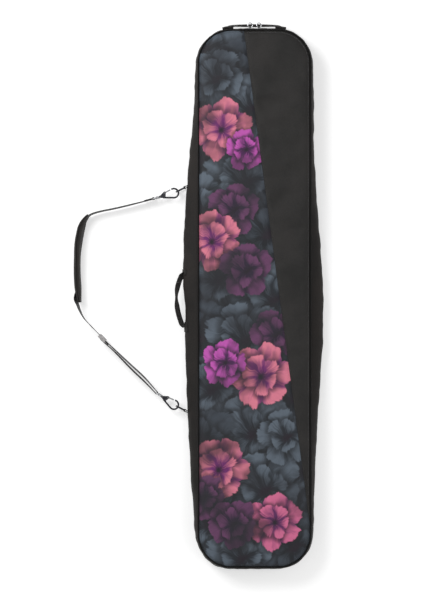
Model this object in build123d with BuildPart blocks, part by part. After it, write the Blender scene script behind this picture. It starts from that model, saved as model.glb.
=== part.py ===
from build123d import *
import math
import os

os.makedirs("parts", exist_ok=True)

# A padded snowboard bag lying on its back. +Y runs to the end where the zip
# sliders meet, +Z is up, out of the front panel, and -X is the side with the
# shoulder strap. The origin is the centre of the back face, on the floor.
# All sizes are millimetres and degrees.

# --- outline of the sewn seams ---------------------------------------------
seam_half_width = 166.0       # seam of the panels, centre to side
seam_half_length = 791.0      # seam of the panels, centre to end
seam_corner_radius = 98.0
smallest_corner_radius = 8.0
gusset_end_swell = 9.0        # how far the gusset stands out past the seam at the ends
# How far the sides stand out beyond that, at shares of the straight side.
left_swell = ((0.808, 4), (0.577, 20), (0.216, 35), (-0.289, 28), (-0.635, 18), (-0.866, 8))
right_swell = ((0.577, 4), (0.216, 21), (-0.101, 30), (-0.361, 19), (-0.62, 8))
gusset_steps = 6              # bands of each gusset strip, from seam to seam

# --- layers ------------------------------------------------------------------
fabric = 1.5                  # outer nylon with its backing
foam = 4.0                    # padding of the walls
panel_foam = 5.0              # padding of the front and back panels
lining = 0.8
piping_radius = 2.5
front_crown = 11.0            # how far the padded front swells above its seam

# --- heights -----------------------------------------------------------------
gusset_height = 55.0
tape_show = 8.5               # zip tape showing each side of the chain
tape_thickness = 1.2
coil_height = 2.6             # one half of the zip chain
coil_thickness = 3.2
chain_gap = 1.4               # between the halves, where the slider's post runs
stop_length = 6.0
stop_thickness = 2.0

# --- zip sliders and pulls ---------------------------------------------------
slider_length = 14.0
slider_plate = 1.6
slider_gap = 0.3              # slider to chain
slider_overlap = 3.0          # slider plate past the chain, above and below
slider_corner_radius = 2.5
slider_post_length = 5.6      # joins the two plates between the chains
slider_offset = 13.0          # each slider's place from the middle of the end
pull_ring_radius = 6.8        # centre line
pull_wire_radius = 1.2
lug_wire_radius = 1.2
lug_rise = 3.5                # slider plate to the underside of the lug
pull_gap = 0.3

# --- webbing -----------------------------------------------------------------
webbing_width = 38.0
webbing_thickness = 1.8
webbing_gap = 0.3             # webbing to the bar inside its fold
patch_thickness = 1.6

# --- D-rings -----------------------------------------------------------------
ring_stand = 65.0             # outer wires of both rings to the side seam
upper_ring_y = 316.0
lower_ring_y = -318.0
ring_lean = 27.0              # each ring leans towards the other end's ring
ring_depth = 28.0             # straight bar to outer wire, centre to centre
ring_wire_radius = 2.0
ring_inner_width = 32.0
ring_corner_radius = 9.0
tab_clearance = 2.0           # tab's edge to the ring's arm
tab_reach = 34.0              # long enough to meet the gusset at every height

# --- swivel hooks ------------------------------------------------------------
hook_bend_radius = 13.5       # centre line of the bend
hook_wire_radius = 2.6
hook_seat_gap = 0.8          # hook wire to ring wire
hook_eye_distance = 61.0      # eye bar to the centre of the bend
upper_hook_angle = 15.0
lower_hook_angle = -34.5
eye_wire_radius = 2.0
swivel_bore_gap = 0.05
swivel_stem_radius = 2.5
swivel_head_radius = 4.0
swivel_boss_radius = 4.6
swivel_boss_length = 8.0
swivel_boss_distance = 12.0   # eye bar to the middle of the boss
swivel_head_length = 2.0
swivel_end_gap = 0.3
hook_body_thickness = 7.0
gate_thickness = 2.4
gate_width = 4.4
gate_slot_gap = 0.3
gate_pin_radius = 1.2
gate_pin_gap = 0.05
gate_slot_radius = 6.2
tip_angle = 110.0             # how far round the bend the rod goes
# In the hook's own plane, from the centre of its bend, with the eye on -X.
shank_start = (-34.0, -4.5)   # where the bent rod leaves the hook's body
body_circles = (((-38.5, 0.0), 4.4), ((-31.0, -1.5), 5.2), ((-26.5, 8.0), 3.9))

# --- shoulder pad and adjuster -----------------------------------------------
pad_width = 54.0
pad_channel_gap = 0.3
pad_edge_share = 0.5          # thickness at the long edges, of that in the middle
pad_steps = 8
glide_bar_radius = 1.4
glide_pitch = 11.0            # between neighbouring bars
glide_side = 2.0
glide_gap = 0.3
glide_angle = -45.0
cheek_margin = 2.1            # cheek plate past the bars' centres

# --- routes of the strap, seen from above -------------------------------------
# Each place is (distance out from the line of the rings, y).
fold_length = 30.0            # of the sewn upper end, double
strap_top = ((174, 268), (237, 256), (262, 245), (278, 221), (285.5, 187))
strap_middle = ((290.5, 143), (292, 84), (292, 25), (297, 11), (299.5, -2), (292, -17))
strap_bottom = ((287.5, -32), (274, -59), (253, -81))
glide_place = (218.4, -116.4)
strap_end = ((195, -139.5), (137, -194), (95, -231.5))
return_ply = ((181, -158.5), (132, -210.5), (92.3, -247))
# The pad follows the strap; the third number is half its thickness there.
pad_route = (
    (261, 246, 2.6),
    (278, 221, 7.5),
    (285.5, 187, 8.5),
    (290.5, 143, 8.5),
    (291.5, 84, 8.5),
    (290.5, 25, 8.0),
    (283, -7, 2.6),
)

# --- handles -----------------------------------------------------------------
handle_width = 25.0
handle_thickness = 3.6        # folded and sewn double
patch_length = 75.0
patch_margin = 1.0            # patch past the handle's edge
side_handle_y = -4.0
side_handle_half_span = 82.0
side_handle_bow = 27.0
top_handle_half_span = 86.0
top_handle_bow = 10.0
grip_share = 0.62             # part of the half span that the stiff grip takes

# --- front panel ---------------------------------------------------------------
print_seam_top_x = -32.0      # where the slanting seam meets the end seam
print_seam_slope = 0.1337     # how far it runs to the right for each length down
# The crown: share of its height, and how far in from the seam it has that.
crown_steps = ((0, 0), (0.42, 9), (0.72, 30), (0.9, 62), (1, 110))

# --- places that follow --------------------------------------------------------
back_piping_z = fabric + piping_radius + 0.5
gusset_z = back_piping_z + piping_radius
gusset_top_z = gusset_z + gusset_height
gusset_mid_z = gusset_z + gusset_height / 2
base_coil_z = gusset_top_z + tape_show
chain_z = base_coil_z + coil_height + chain_gap / 2
lid_coil_z = chain_z + chain_gap / 2
lid_tape_z = lid_coil_z + coil_height
front_piping_z = lid_tape_z + tape_show + piping_radius
lid_z = front_piping_z - piping_radius
strap_z = pad_width / 2
corner_x = seam_half_width - seam_corner_radius
corner_y = seam_half_length - seam_corner_radius
ring_line_x = -seam_half_width - ring_stand
seam_gap = 0.3                # hinge strip to the piping that turns above it
wall = fabric + foam
far = 2000.0                  # longer than the bag, for cutting solids


def save(builder, label):
    builder.part.label = label
    export_step(builder.part, f"parts/{label}.step")


def rounded_outline(inset):
    """Seam outline drawn in by inset, as a face."""
    width = 2 * (seam_half_width - inset)
    length = 2 * (seam_half_length - inset)
    RectangleRounded(width, length, max(seam_corner_radius - inset, smallest_corner_radius))


def swollen_outline(share, inset):
    """Outline of the gusset at one height: share is 0 at a seam and 1 at mid height."""
    radius = seam_corner_radius + share * gusset_end_swell - inset
    side = corner_x + radius
    end = corner_y + radius
    left = [(-side - share * swell, part * corner_y) for part, swell in left_swell]
    right = [(side + share * swell, part * corner_y) for part, swell in right_swell]
    down = (0, -1)
    with BuildLine() as outline:
        CenterArc((corner_x, corner_y), radius, 90, -90)
        if share > 0:
            Spline((side, corner_y), *right, (side, -corner_y), tangents=[down, down])
        else:
            Line((side, corner_y), (side, -corner_y))
        CenterArc((corner_x, -corner_y), radius, 0, -90)
        Line((corner_x, -end), (-corner_x, -end))
        CenterArc((-corner_x, -corner_y), radius, -90, -90)
        if share > 0:
            Spline((-side, corner_y), *left, (-side, -corner_y), tangents=[down, down])
        else:
            Line((-side, corner_y), (-side, -corner_y))
        CenterArc((-corner_x, corner_y), radius, 180, -90)
        Line((-corner_x, end), (corner_x, end))
    make_face(outline.edges())


def gusset_body(inset):
    """The solid inside the gusset's surface, drawn in by inset all round."""
    with BuildPart() as body:
        for step in range(gusset_steps + 1):
            rise = step / gusset_steps
            with BuildSketch(Plane.XY.offset(gusset_z + rise * gusset_height)):
                swollen_outline(4 * rise * (1 - rise), inset)
        loft(ruled=True)
    return body.part


gusset_outside = gusset_body(0)
gusset_inside = gusset_body(fabric)
foam_inside = gusset_body(wall)
lining_inside = gusset_body(wall + lining)
patch_outside = gusset_body(-patch_thickness)

# --- back panel: fabric, foam, and a tub of lining that covers the walls too ----
with BuildPart() as back_panel:
    with BuildSketch():
        rounded_outline(piping_radius)
    extrude(amount=fabric)
save(back_panel, "back_panel")

with BuildPart() as back_foam:
    with BuildSketch(Plane.XY.offset(fabric)):
        rounded_outline(piping_radius)
    extrude(amount=panel_foam)
save(back_foam, "back_foam")

floor_z = fabric + panel_foam
with BuildPart() as body_lining:
    with BuildSketch(Plane.XY.offset(floor_z)):
        rounded_outline(wall)
    extrude(amount=lining)
    add(foam_inside)
    add(lining_inside, mode=Mode.SUBTRACT)
save(body_lining, "body_lining")


def piping(height):
    with BuildPart() as cord:
        with BuildLine(Plane.XY.offset(height)) as seam:
            CenterArc((corner_x, corner_y), seam_corner_radius, 90, -90)
            Line((seam_half_width, corner_y), (seam_half_width, -corner_y))
            CenterArc((corner_x, -corner_y), seam_corner_radius, 0, -90)
            Line((corner_x, -seam_half_length), (-corner_x, -seam_half_length))
            CenterArc((-corner_x, -corner_y), seam_corner_radius, -90, -90)
            Line((-seam_half_width, -corner_y), (-seam_half_width, corner_y))
            CenterArc((-corner_x, corner_y), seam_corner_radius, 180, -90)
            Line((-corner_x, seam_half_length), (corner_x, seam_half_length))
        with BuildSketch(Plane(origin=(corner_x, seam_half_length, height), z_dir=(1, 0, 0))):
            Circle(piping_radius)
        sweep(path=seam.wires()[0])
    return cord


save(piping(back_piping_z), "back_piping")

# --- gusset: four strips of fabric, with foam behind them -----------------------
def gusset_strip(label, outer, inner):
    """One strip of the wall between two surfaces, cut at the ends of its corner arcs."""
    with BuildPart() as strip:
        add(outer)
        add(inner, mode=Mode.SUBTRACT)
        if label.endswith("left"):
            Box(far, 2 * corner_y, far, mode=Mode.INTERSECT)
            split(bisect_by=Plane.YZ, keep=Keep.BOTTOM)
        elif label.endswith("right"):
            Box(far, 2 * corner_y, far, mode=Mode.INTERSECT)
            split(bisect_by=Plane.YZ, keep=Keep.TOP)
        elif label.endswith("top"):
            split(bisect_by=Plane.XZ.offset(-corner_y), keep=Keep.BOTTOM)
        else:
            split(bisect_by=Plane.XZ.offset(corner_y), keep=Keep.TOP)
    save(strip, label)


for side in ("left", "right", "top", "bottom"):
    gusset_strip(f"gusset_{side}", gusset_outside, gusset_inside)
    gusset_strip(f"gusset_foam_{side}", gusset_inside, foam_inside)


# --- zip: tape and half chain on the gusset and on the lid ------------------------
def zip_band(label, height, rise, thickness):
    """A band that follows the seam, left out along the straight right side."""
    outer = tape_middle - thickness / 2
    inner = tape_middle + thickness / 2
    with BuildPart() as band:
        with BuildSketch(Plane.XY.offset(height)):
            rounded_outline(outer)
        extrude(amount=rise)
        with BuildSketch(Plane.XY.offset(height)):
            rounded_outline(inner)
        extrude(amount=rise, mode=Mode.SUBTRACT)
        with Locations((seam_half_width, 0, height)):
            Box(2 * corner_x, 2 * corner_y, far, mode=Mode.SUBTRACT)
    save(band, label)


tape_middle = seam_gap + tape_thickness / 2
zip_band("zip_tape_base", gusset_top_z, tape_show, tape_thickness)
zip_band("zip_chain_base", base_coil_z, coil_height, coil_thickness)
zip_band("zip_chain_lid", lid_coil_z, coil_height, coil_thickness)
zip_band("zip_tape_lid", lid_tape_z, tape_show, tape_thickness)

# Crimped stops close the two ends of the lower chain, where the fabric hinge starts.
with BuildPart() as zip_stops:
    for end in (-1, 1):
        with Locations((
            seam_half_width - fabric - stop_thickness / 2,
            end * (corner_y - stop_length / 2),
            base_coil_z + coil_height / 2,
        )):
            Box(stop_thickness, stop_length, coil_height)
save(zip_stops, "zip_stops")

# Strip of gusset fabric that carries the lid along the straight right side.
with BuildPart() as hinge_strip:
    strip_rise = front_piping_z - piping_radius - seam_gap - gusset_top_z
    with Locations((seam_half_width - fabric / 2, 0, gusset_top_z + strip_rise / 2)):
        Box(fabric, 2 * corner_y, strip_rise)
save(hinge_strip, "hinge_strip")

# --- lid: front fabric in two pieces over foam and lining -------------------------
def crowned_lid(extra, inset):
    """A panel whose face swells from its seam to its middle."""
    with BuildPart() as body:
        with BuildSketch(Plane.XY.offset(lid_z)):
            rounded_outline(inset)
        for share, run in crown_steps:
            with BuildSketch(Plane.XY.offset(lid_z + panel_foam + extra + share * front_crown)):
                rounded_outline(inset + run)
        loft(ruled=True)
    return body.part


foam_shape = crowned_lid(0, piping_radius + fabric)
front_shape = crowned_lid(fabric, piping_radius)
seam_angle = math.degrees(math.atan(print_seam_slope))
slant = Plane(
    origin=(print_seam_top_x, seam_half_length, 0),
    x_dir=(0, 0, 1),
    z_dir=(math.cos(math.radians(seam_angle)), math.sin(math.radians(seam_angle)), 0),
)

with BuildPart() as front_foam:
    add(foam_shape)
save(front_foam, "front_foam")

for label, keep in (("front_print_panel", Keep.BOTTOM), ("front_plain_panel", Keep.TOP)):
    with BuildPart() as front_fabric:
        add(front_shape)
        add(foam_shape, mode=Mode.SUBTRACT)
        split(bisect_by=slant, keep=keep)
    save(front_fabric, label)

with BuildPart() as front_lining:
    with BuildSketch(Plane.XY.offset(lid_z - lining)):
        rounded_outline(piping_radius)
    extrude(amount=lining)
save(front_lining, "front_lining")
save(piping(front_piping_z), "front_piping")

# --- zip sliders, each with a lug and a ring to pull -------------------------------
slider_out = seam_half_length - tape_middle + coil_thickness / 2 + slider_gap
slider_in = seam_half_length - tape_middle - coil_thickness / 2 - slider_gap
slider_rise = 2 * coil_height + chain_gap + 2 * slider_overlap
lug_opening = pull_wire_radius + pull_gap
lug_y = slider_out + slider_plate + lug_rise + lug_opening
lug_radius = lug_opening + lug_wire_radius

for label, x in (("left", -slider_offset), ("right", slider_offset)):
    with BuildPart() as slider:
        with Locations((x, slider_out + slider_plate / 2, chain_z)):
            Box(slider_length, slider_plate, slider_rise)
        fillet(slider.edges().filter_by(Axis.Y), slider_corner_radius)
        with Locations((x, slider_in - slider_plate / 2, chain_z)):
            Box(slider_length, slider_plate, slider_rise)
        with Locations((x, (slider_out + slider_in) / 2, chain_z)):
            Box(slider_post_length, slider_out - slider_in, chain_gap - 2 * slider_gap)
        with BuildSketch(Plane.YZ.offset(x - lug_wire_radius)):
            with Locations((lug_y, chain_z)):
                Circle(lug_radius + lug_wire_radius / 2)
            with Locations((slider_out + slider_plate, chain_z)):
                Rectangle(lug_rise, 2 * lug_radius, align=(Align.MIN, Align.CENTER))
            with Locations((lug_y, chain_z)):
                Circle(lug_opening, mode=Mode.SUBTRACT)
        extrude(amount=2 * lug_wire_radius)
    save(slider, f"zip_slider_{label}")
    with BuildPart() as pull:
        ring_centre = (x, lug_y + pull_ring_radius, chain_z)
        with BuildSketch(Plane(origin=(x, lug_y, chain_z), z_dir=(1, 0, 0))):
            Circle(pull_wire_radius)
        revolve(axis=Axis(ring_centre, (0, 0, 1)))
    save(pull, f"zip_pull_{label}")


# --- D-rings in webbing tabs on the left gusset ------------------------------------
def turned(angle):
    return (math.cos(math.radians(angle)), math.sin(math.radians(angle)))


ring_half = ring_inner_width / 2 + ring_wire_radius
tab_width = ring_inner_width - 2 * tab_clearance
ring_places = {
    "upper": (upper_ring_y, ring_lean),
    "lower": (lower_ring_y, -ring_lean),
}

for label, (y, lean) in ring_places.items():
    inward = turned(lean)
    bar = (ring_line_x + ring_depth * inward[0], y + ring_depth * inward[1], strap_z)
    ring_plane = Plane(origin=bar, x_dir=(-inward[0], -inward[1], 0), z_dir=(-inward[1], inward[0], 0))
    with BuildPart() as ring:
        with BuildLine(ring_plane) as outline:
            FilletPolyline(
                (0, ring_half),
                (ring_depth, ring_half),
                (ring_depth, -ring_half),
                (0, -ring_half),
                radius=[2 * ring_wire_radius, ring_corner_radius, ring_corner_radius, 2 * ring_wire_radius],
                close=True,
            )
        with BuildSketch(Plane(origin=outline.line @ 0, z_dir=outline.line % 0)):
            Circle(ring_wire_radius)
        sweep(path=outline.wires()[0])
    save(ring, f"d_ring_{label}")
    tab_bore = ring_wire_radius + webbing_gap
    tab_plane = Plane(origin=bar, x_dir=(*inward, 0), z_dir=(0, 0, 1))
    with BuildPart() as tab:
        with BuildSketch(tab_plane):
            Circle(tab_bore + webbing_thickness)
            Rectangle(tab_reach, 2 * webbing_thickness, align=(Align.MIN, Align.CENTER))
            Circle(tab_bore, mode=Mode.SUBTRACT)
        extrude(amount=tab_width / 2, both=True)
        add(gusset_outside, mode=Mode.SUBTRACT)
    save(tab, f"ring_tab_{label}")

# --- swivel hooks -------------------------------------------------------------------
seat = ring_wire_radius + hook_wire_radius + hook_seat_gap
gate_pivot = body_circles[-1][0]
eye_x = -hook_eye_distance
boss_x = eye_x + swivel_boss_distance
eye_half = webbing_width / 2 + webbing_gap + eye_wire_radius

shank_distance = math.hypot(*shank_start)
shank_angle = 360 - math.degrees(math.acos(shank_start[0] / shank_distance))
touch_angle = shank_angle + math.degrees(math.acos(hook_bend_radius / shank_distance))
touch = tuple(hook_bend_radius * part for part in turned(touch_angle))
tip = tuple(hook_bend_radius * part for part in turned(tip_angle))
gate_reach = math.dist(gate_pivot, tip) - hook_wire_radius - gate_slot_gap
gate_lie = math.degrees(math.atan2(tip[1] - gate_pivot[1], tip[0] - gate_pivot[0]))

hook_places = {
    "upper": (upper_ring_y, ring_lean, upper_hook_angle),
    "lower": (lower_ring_y, -ring_lean, lower_hook_angle),
}
eyes = {}

for label, (y, lean, angle) in hook_places.items():
    inward = turned(lean)
    back = hook_bend_radius - seat
    centre = (ring_line_x - back * inward[0], y - back * inward[1], strap_z)
    along = turned(angle)
    frame = Plane(origin=centre, x_dir=(*along, 0), z_dir=(0, 0, 1))
    eyes[label] = (centre[0] + eye_x * along[0], centre[1] + eye_x * along[1])
    axis_plane = Plane(origin=centre, x_dir=(0, 0, 1), z_dir=(*along, 0))

    with BuildPart() as hook:
        with BuildLine(frame) as rod:
            Line(shank_start, touch)
            CenterArc((0, 0), hook_bend_radius, touch_angle, 360 + tip_angle - touch_angle)
        with BuildSketch(Plane(origin=rod.line @ 0, z_dir=rod.line % 0)):
            Circle(hook_wire_radius)
        sweep(path=rod.wires()[0])
        with BuildSketch(frame):
            for place, radius in body_circles:
                with Locations(place):
                    Circle(radius)
            make_hull()
        extrude(amount=hook_body_thickness / 2, both=True)
        with BuildSketch(frame):
            with Locations(gate_pivot):
                Circle(gate_slot_radius)
        extrude(amount=gate_thickness / 2 + gate_slot_gap, both=True, mode=Mode.SUBTRACT)
        with BuildSketch(frame):
            with Locations(gate_pivot):
                Circle(gate_pin_radius)
        extrude(amount=hook_body_thickness, both=True, mode=Mode.SUBTRACT)
        with BuildSketch(axis_plane.offset(boss_x - swivel_boss_length / 2 - swivel_end_gap)):
            Circle(swivel_head_radius)
        extrude(amount=-swivel_head_length)
        with BuildSketch(axis_plane.offset(boss_x - swivel_boss_length / 2 - swivel_end_gap)):
            Circle(swivel_stem_radius)
        extrude(amount=body_circles[0][0][0] - boss_x + swivel_boss_length / 2)
        with BuildSketch(axis_plane.offset(boss_x + swivel_boss_length / 2 + swivel_end_gap)):
            Circle(swivel_head_radius)
        extrude(amount=swivel_head_length)
    save(hook, f"hook_{label}")

    with BuildPart() as eye:
        with BuildLine(Plane(origin=centre, x_dir=(*along, 0), z_dir=(along[1], -along[0], 0))) as loop:
            FilletPolyline(
                (eye_x, eye_half),
                (boss_x, eye_half),
                (boss_x, -eye_half),
                (eye_x, -eye_half),
                radius=1.5 * eye_wire_radius,
                close=True,
            )
        with BuildSketch(Plane(origin=loop.line @ 0, z_dir=loop.line % 0)):
            Circle(eye_wire_radius)
        sweep(path=loop.wires()[0])
        with BuildSketch(axis_plane.offset(boss_x - swivel_boss_length / 2)):
            Circle(swivel_boss_radius)
        extrude(amount=swivel_boss_length)
        with BuildSketch(axis_plane.offset(boss_x - swivel_boss_length)):
            Circle(swivel_stem_radius + swivel_bore_gap)
        extrude(amount=2 * swivel_boss_length, mode=Mode.SUBTRACT)
    save(eye, f"hook_eye_{label}")

    gate_plane = Plane(frame.from_local_coords(Vector(*gate_pivot)), x_dir=frame.x_dir, z_dir=(0, 0, 1))
    with BuildPart() as gate:
        with BuildSketch(gate_plane.rotated((0, 0, gate_lie))):
            gate_end = gate_reach - gate_width / 2
            SlotCenterPoint((gate_end / 2, 0), (gate_end, 0), gate_width)
            Circle(gate_pin_radius + gate_pin_gap, mode=Mode.SUBTRACT)
        extrude(amount=gate_thickness / 2, both=True)
    save(gate, f"hook_gate_{label}")
    with BuildPart() as pin:
        with BuildSketch(gate_plane):
            Circle(gate_pin_radius)
        extrude(amount=hook_body_thickness / 2, both=True)
    save(pin, f"gate_pin_{label}")


# --- shoulder strap: one webbing standing on its edge, in plan -----------------------
def soft_line(points):
    """Straight runs joined by arcs as large as the runs beside them allow."""
    corners = [Vector(*point) for point in points]
    radii = []
    for before, corner, after in zip(corners, corners[1:], corners[2:]):
        arriving = corner - before
        leaving = after - corner
        turn = arriving.get_angle(leaving)
        shorter = min(arriving.length, leaving.length)
        radii.append(0.45 * shorter / math.tan(math.radians(turn / 2)))
    return FilletPolyline(*points, radius=radii)


def flat(point):
    """The plan position of a point."""
    return (point.X, point.Y)


def outward(places):
    """Plan positions of places given by their distance out from the rings' line."""
    return [(ring_line_x - away, y) for away, y in places]


glide_lift = webbing_thickness / 2 + glide_gap + glide_bar_radius
glide_drop = glide_lift + webbing_thickness + glide_gap
fold_radius = eye_wire_radius + webbing_gap + webbing_thickness
fold_middle = fold_radius - webbing_thickness / 2
glide_middle = outward([glide_place])[0]

upper_along = Vector(*turned(upper_hook_angle))
lower_along = Vector(*turned(lower_hook_angle))
lower_side = Vector(-lower_along.Y, lower_along.X)
upper_eye = Vector(*eyes["upper"])
lower_eye = Vector(*eyes["lower"])
outer_ply_end = lower_eye + fold_middle * lower_side
inner_ply_end = lower_eye - fold_middle * lower_side
glide_along = Vector(*turned(glide_angle))
glide_side_way = Vector(-glide_along.Y, glide_along.X)
centre_bar = Vector(*glide_middle) - glide_drop * glide_side_way
strap_plane = Plane.XY.offset(strap_z)
main_route = (
    flat(upper_eye - fold_radius * upper_along),
    *outward(strap_top + strap_middle + strap_bottom + (glide_place,) + strap_end),
    flat(outer_ply_end),
)

with BuildPart() as strap:
    with BuildSketch(strap_plane):
        with BuildLine() as main_line:
            soft_line(main_route)
        trace(main_line.edges(), line_width=webbing_thickness)
        with BuildLine() as return_line:
            soft_line((flat(centre_bar), *outward(return_ply), flat(inner_ply_end)))
        trace(return_line.edges(), line_width=webbing_thickness)
        with BuildLine() as upper_fold:
            Line(upper_eye, upper_eye - fold_length * upper_along)
        trace(upper_fold.edges(), line_width=2 * webbing_thickness)
        for eye_place in (upper_eye, lower_eye):
            with Locations(eye_place):
                Circle(fold_radius)
        with Locations(centre_bar):
            Circle(glide_bar_radius + glide_gap + webbing_thickness)
        for eye_place in (upper_eye, lower_eye):
            with Locations(eye_place):
                Circle(eye_wire_radius + webbing_gap, mode=Mode.SUBTRACT)
        with Locations(centre_bar):
            Circle(glide_bar_radius + glide_gap, mode=Mode.SUBTRACT)
    extrude(amount=webbing_width / 2, both=True)
save(strap, "strap_webbing")
webbing_runs = main_line.edges() + return_line.edges()
print("length of webbing, without its sewn folds:", round(sum(run.length for run in webbing_runs)))

# --- adjuster: three bars between two cheeks -----------------------------------------
glide_plane = Plane(origin=(*glide_middle, strap_z), x_dir=glide_along, z_dir=(0, 0, 1))
glide_half = webbing_width / 2 + glide_gap + glide_side / 2
with BuildPart() as adjuster:
    with BuildSketch(glide_plane):
        for place in ((-glide_pitch, glide_lift), (glide_pitch, glide_lift), (0, -glide_drop)):
            with Locations(place):
                Circle(glide_bar_radius)
    extrude(amount=glide_half, both=True)
    for height in (-glide_half, glide_half):
        with BuildSketch(glide_plane.offset(height)):
            with Locations((0, (glide_lift - glide_drop) / 2)):
                RectangleRounded(
                    2 * (glide_pitch + cheek_margin),
                    glide_lift + glide_drop + 2 * cheek_margin,
                    cheek_margin,
                )
        extrude(amount=glide_side / 2, both=True)
save(adjuster, "strap_adjuster")

# --- shoulder pad: swells in the middle, thins to its ends and edges ------------------
def pad_outline(share):
    """The pad's edges in plan, with its thickness multiplied by share."""
    sides = ([], [])
    places = outward(place[:2] for place in pad_route)
    for index, (x, y) in enumerate(places):
        half = pad_route[index][2]
        before = Vector(*places[max(index - 1, 0)])
        after = Vector(*places[min(index + 1, len(places) - 1)])
        across = (after - before).normalized().rotate(Axis.Z, 90) * (half * share)
        sides[0].append((x + across.X, y + across.Y))
        sides[1].append((x - across.X, y - across.Y))
    with BuildLine() as outline:
        Spline(*sides[0])
        Line(sides[0][-1], sides[1][-1])
        Spline(*reversed(sides[1]))
        Line(sides[1][0], sides[0][0])
    make_face(outline.edges())


with BuildPart() as pad:
    for step in range(pad_steps + 1):
        level = 2 * step / pad_steps - 1
        with BuildSketch(Plane.XY.offset(strap_z + level * pad_width / 2)):
            pad_outline(math.sqrt(1 - (1 - pad_edge_share**2) * level**2))
    loft(ruled=True)
    with BuildSketch(strap_plane):
        trace(main_line.edges(), line_width=webbing_thickness + 2 * pad_channel_gap)
    extrude(amount=webbing_width / 2 + pad_channel_gap, both=True, mode=Mode.SUBTRACT)
save(pad, "shoulder_pad")


# --- carry handles: sewn-down patches, soft legs and a stiff folded grip ---------------
def handle(name, root, half_span, bow):
    grip_half = grip_share * half_span
    with BuildPart() as band:
        with BuildSketch(root):
            with BuildLine() as arch:
                ThreePointArc((-half_span, 0), (0, bow), (half_span, 0))
            trace(arch.edges(), line_width=handle_thickness)
        extrude(amount=handle_width / 2, both=True)
    with BuildPart() as grip:
        add(band.part)
        with Locations(root.location):
            Box(2 * grip_half, far, far, mode=Mode.INTERSECT)
    save(grip, f"{name}_grip")
    with BuildPart() as legs:
        add(band.part)
        with Locations(root.location):
            Box(2 * grip_half, far, far, mode=Mode.SUBTRACT)
        add(patch_outside, mode=Mode.SUBTRACT)
    save(legs, f"{name}_legs")
    with BuildPart() as patches:
        for end in (-half_span, half_span):
            with BuildSketch(root):
                with Locations((end, 0)):
                    Rectangle(handle_width, patch_length)
        extrude(amount=handle_width / 2 + patch_margin, both=True)
        add(patch_outside, mode=Mode.INTERSECT)
        add(gusset_outside, mode=Mode.SUBTRACT)
    save(patches, f"{name}_patches")


side_root_x = -(corner_x + seam_corner_radius + gusset_end_swell + max(swell for _, swell in left_swell))
handle(
    "side_handle",
    Plane(origin=(side_root_x, side_handle_y, gusset_mid_z), x_dir=(0, 1, 0), z_dir=(0, 0, 1)),
    side_handle_half_span,
    side_handle_bow,
)
handle(
    "top_handle",
    Plane(origin=(0, seam_half_length + gusset_end_swell, gusset_mid_z), x_dir=(1, 0, 0), z_dir=(0, 0, 1)),
    top_handle_half_span,
    top_handle_bow,
)
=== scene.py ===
# %% [markdown]
# A padded snowboard bag, dressed in Blender.
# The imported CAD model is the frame: it fixes every size, place and joint, and
# it shows the hard metal parts itself. The soft parts in it are plain solids,
# so each one is replaced here by a piece of fabric made in mesh code. Working
# round a fixed frame means that nothing has to be fitted by eye afterwards.

# %% Load the frame
import math

import bpy
import numpy as np
from mathutils import Matrix, Vector, noise


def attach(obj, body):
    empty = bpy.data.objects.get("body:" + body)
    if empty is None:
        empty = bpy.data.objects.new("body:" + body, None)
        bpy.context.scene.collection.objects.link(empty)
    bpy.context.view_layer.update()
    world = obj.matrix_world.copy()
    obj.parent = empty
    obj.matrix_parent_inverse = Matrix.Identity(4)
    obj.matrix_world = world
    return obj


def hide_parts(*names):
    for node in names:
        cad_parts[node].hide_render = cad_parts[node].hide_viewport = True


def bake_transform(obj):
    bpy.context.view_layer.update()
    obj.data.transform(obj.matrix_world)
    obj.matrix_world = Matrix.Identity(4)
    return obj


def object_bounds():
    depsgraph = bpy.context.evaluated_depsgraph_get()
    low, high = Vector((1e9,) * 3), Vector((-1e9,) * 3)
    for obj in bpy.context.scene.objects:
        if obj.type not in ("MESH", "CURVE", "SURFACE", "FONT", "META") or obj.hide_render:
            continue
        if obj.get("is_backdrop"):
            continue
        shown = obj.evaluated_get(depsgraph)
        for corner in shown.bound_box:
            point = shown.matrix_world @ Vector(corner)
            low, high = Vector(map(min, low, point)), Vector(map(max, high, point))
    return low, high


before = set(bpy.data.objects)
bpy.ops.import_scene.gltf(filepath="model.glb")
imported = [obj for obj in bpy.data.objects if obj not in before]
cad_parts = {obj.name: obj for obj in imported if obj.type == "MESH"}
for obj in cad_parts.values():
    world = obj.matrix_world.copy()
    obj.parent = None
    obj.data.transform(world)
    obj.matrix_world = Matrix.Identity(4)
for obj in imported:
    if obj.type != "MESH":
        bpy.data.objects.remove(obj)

cad_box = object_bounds()
scene = bpy.context.scene
scene.view_settings.view_transform = "Standard"
MM = 0.001
UP = Vector((0, 0, 1))
print("CAD box in metres:", [[round(v, 3) for v in corner] for corner in cad_box])

# %% [markdown]
# The camera looks straight down on the bag from well above, as a product is
# shot from a gantry. It could stand close with a wide lens, but then the tall
# sides would show on both edges. A far camera with a long lens keeps the
# outline true, and the strap lies where the frame has it.

# %% Camera
CAMERA_PLACE = Vector((-0.112, -0.016, 9.0))
FRAME_HEIGHT = 1.792  # metres of the bag's plane that the picture takes in
FOCUS_HEIGHT = 0.07
SENSOR_HEIGHT = 24.0
camera_data = bpy.data.cameras.new("camera")
camera = bpy.data.objects.new("camera", camera_data)
scene.collection.objects.link(camera)
camera.location = CAMERA_PLACE
camera_data.sensor_fit = "VERTICAL"
camera_data.sensor_height = SENSOR_HEIGHT
camera_data.lens = SENSOR_HEIGHT * (CAMERA_PLACE.z - FOCUS_HEIGHT) / FRAME_HEIGHT
camera_data.clip_end = 40.0
scene.camera = camera
print("lens:", round(camera_data.lens, 1), "mm")

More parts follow.
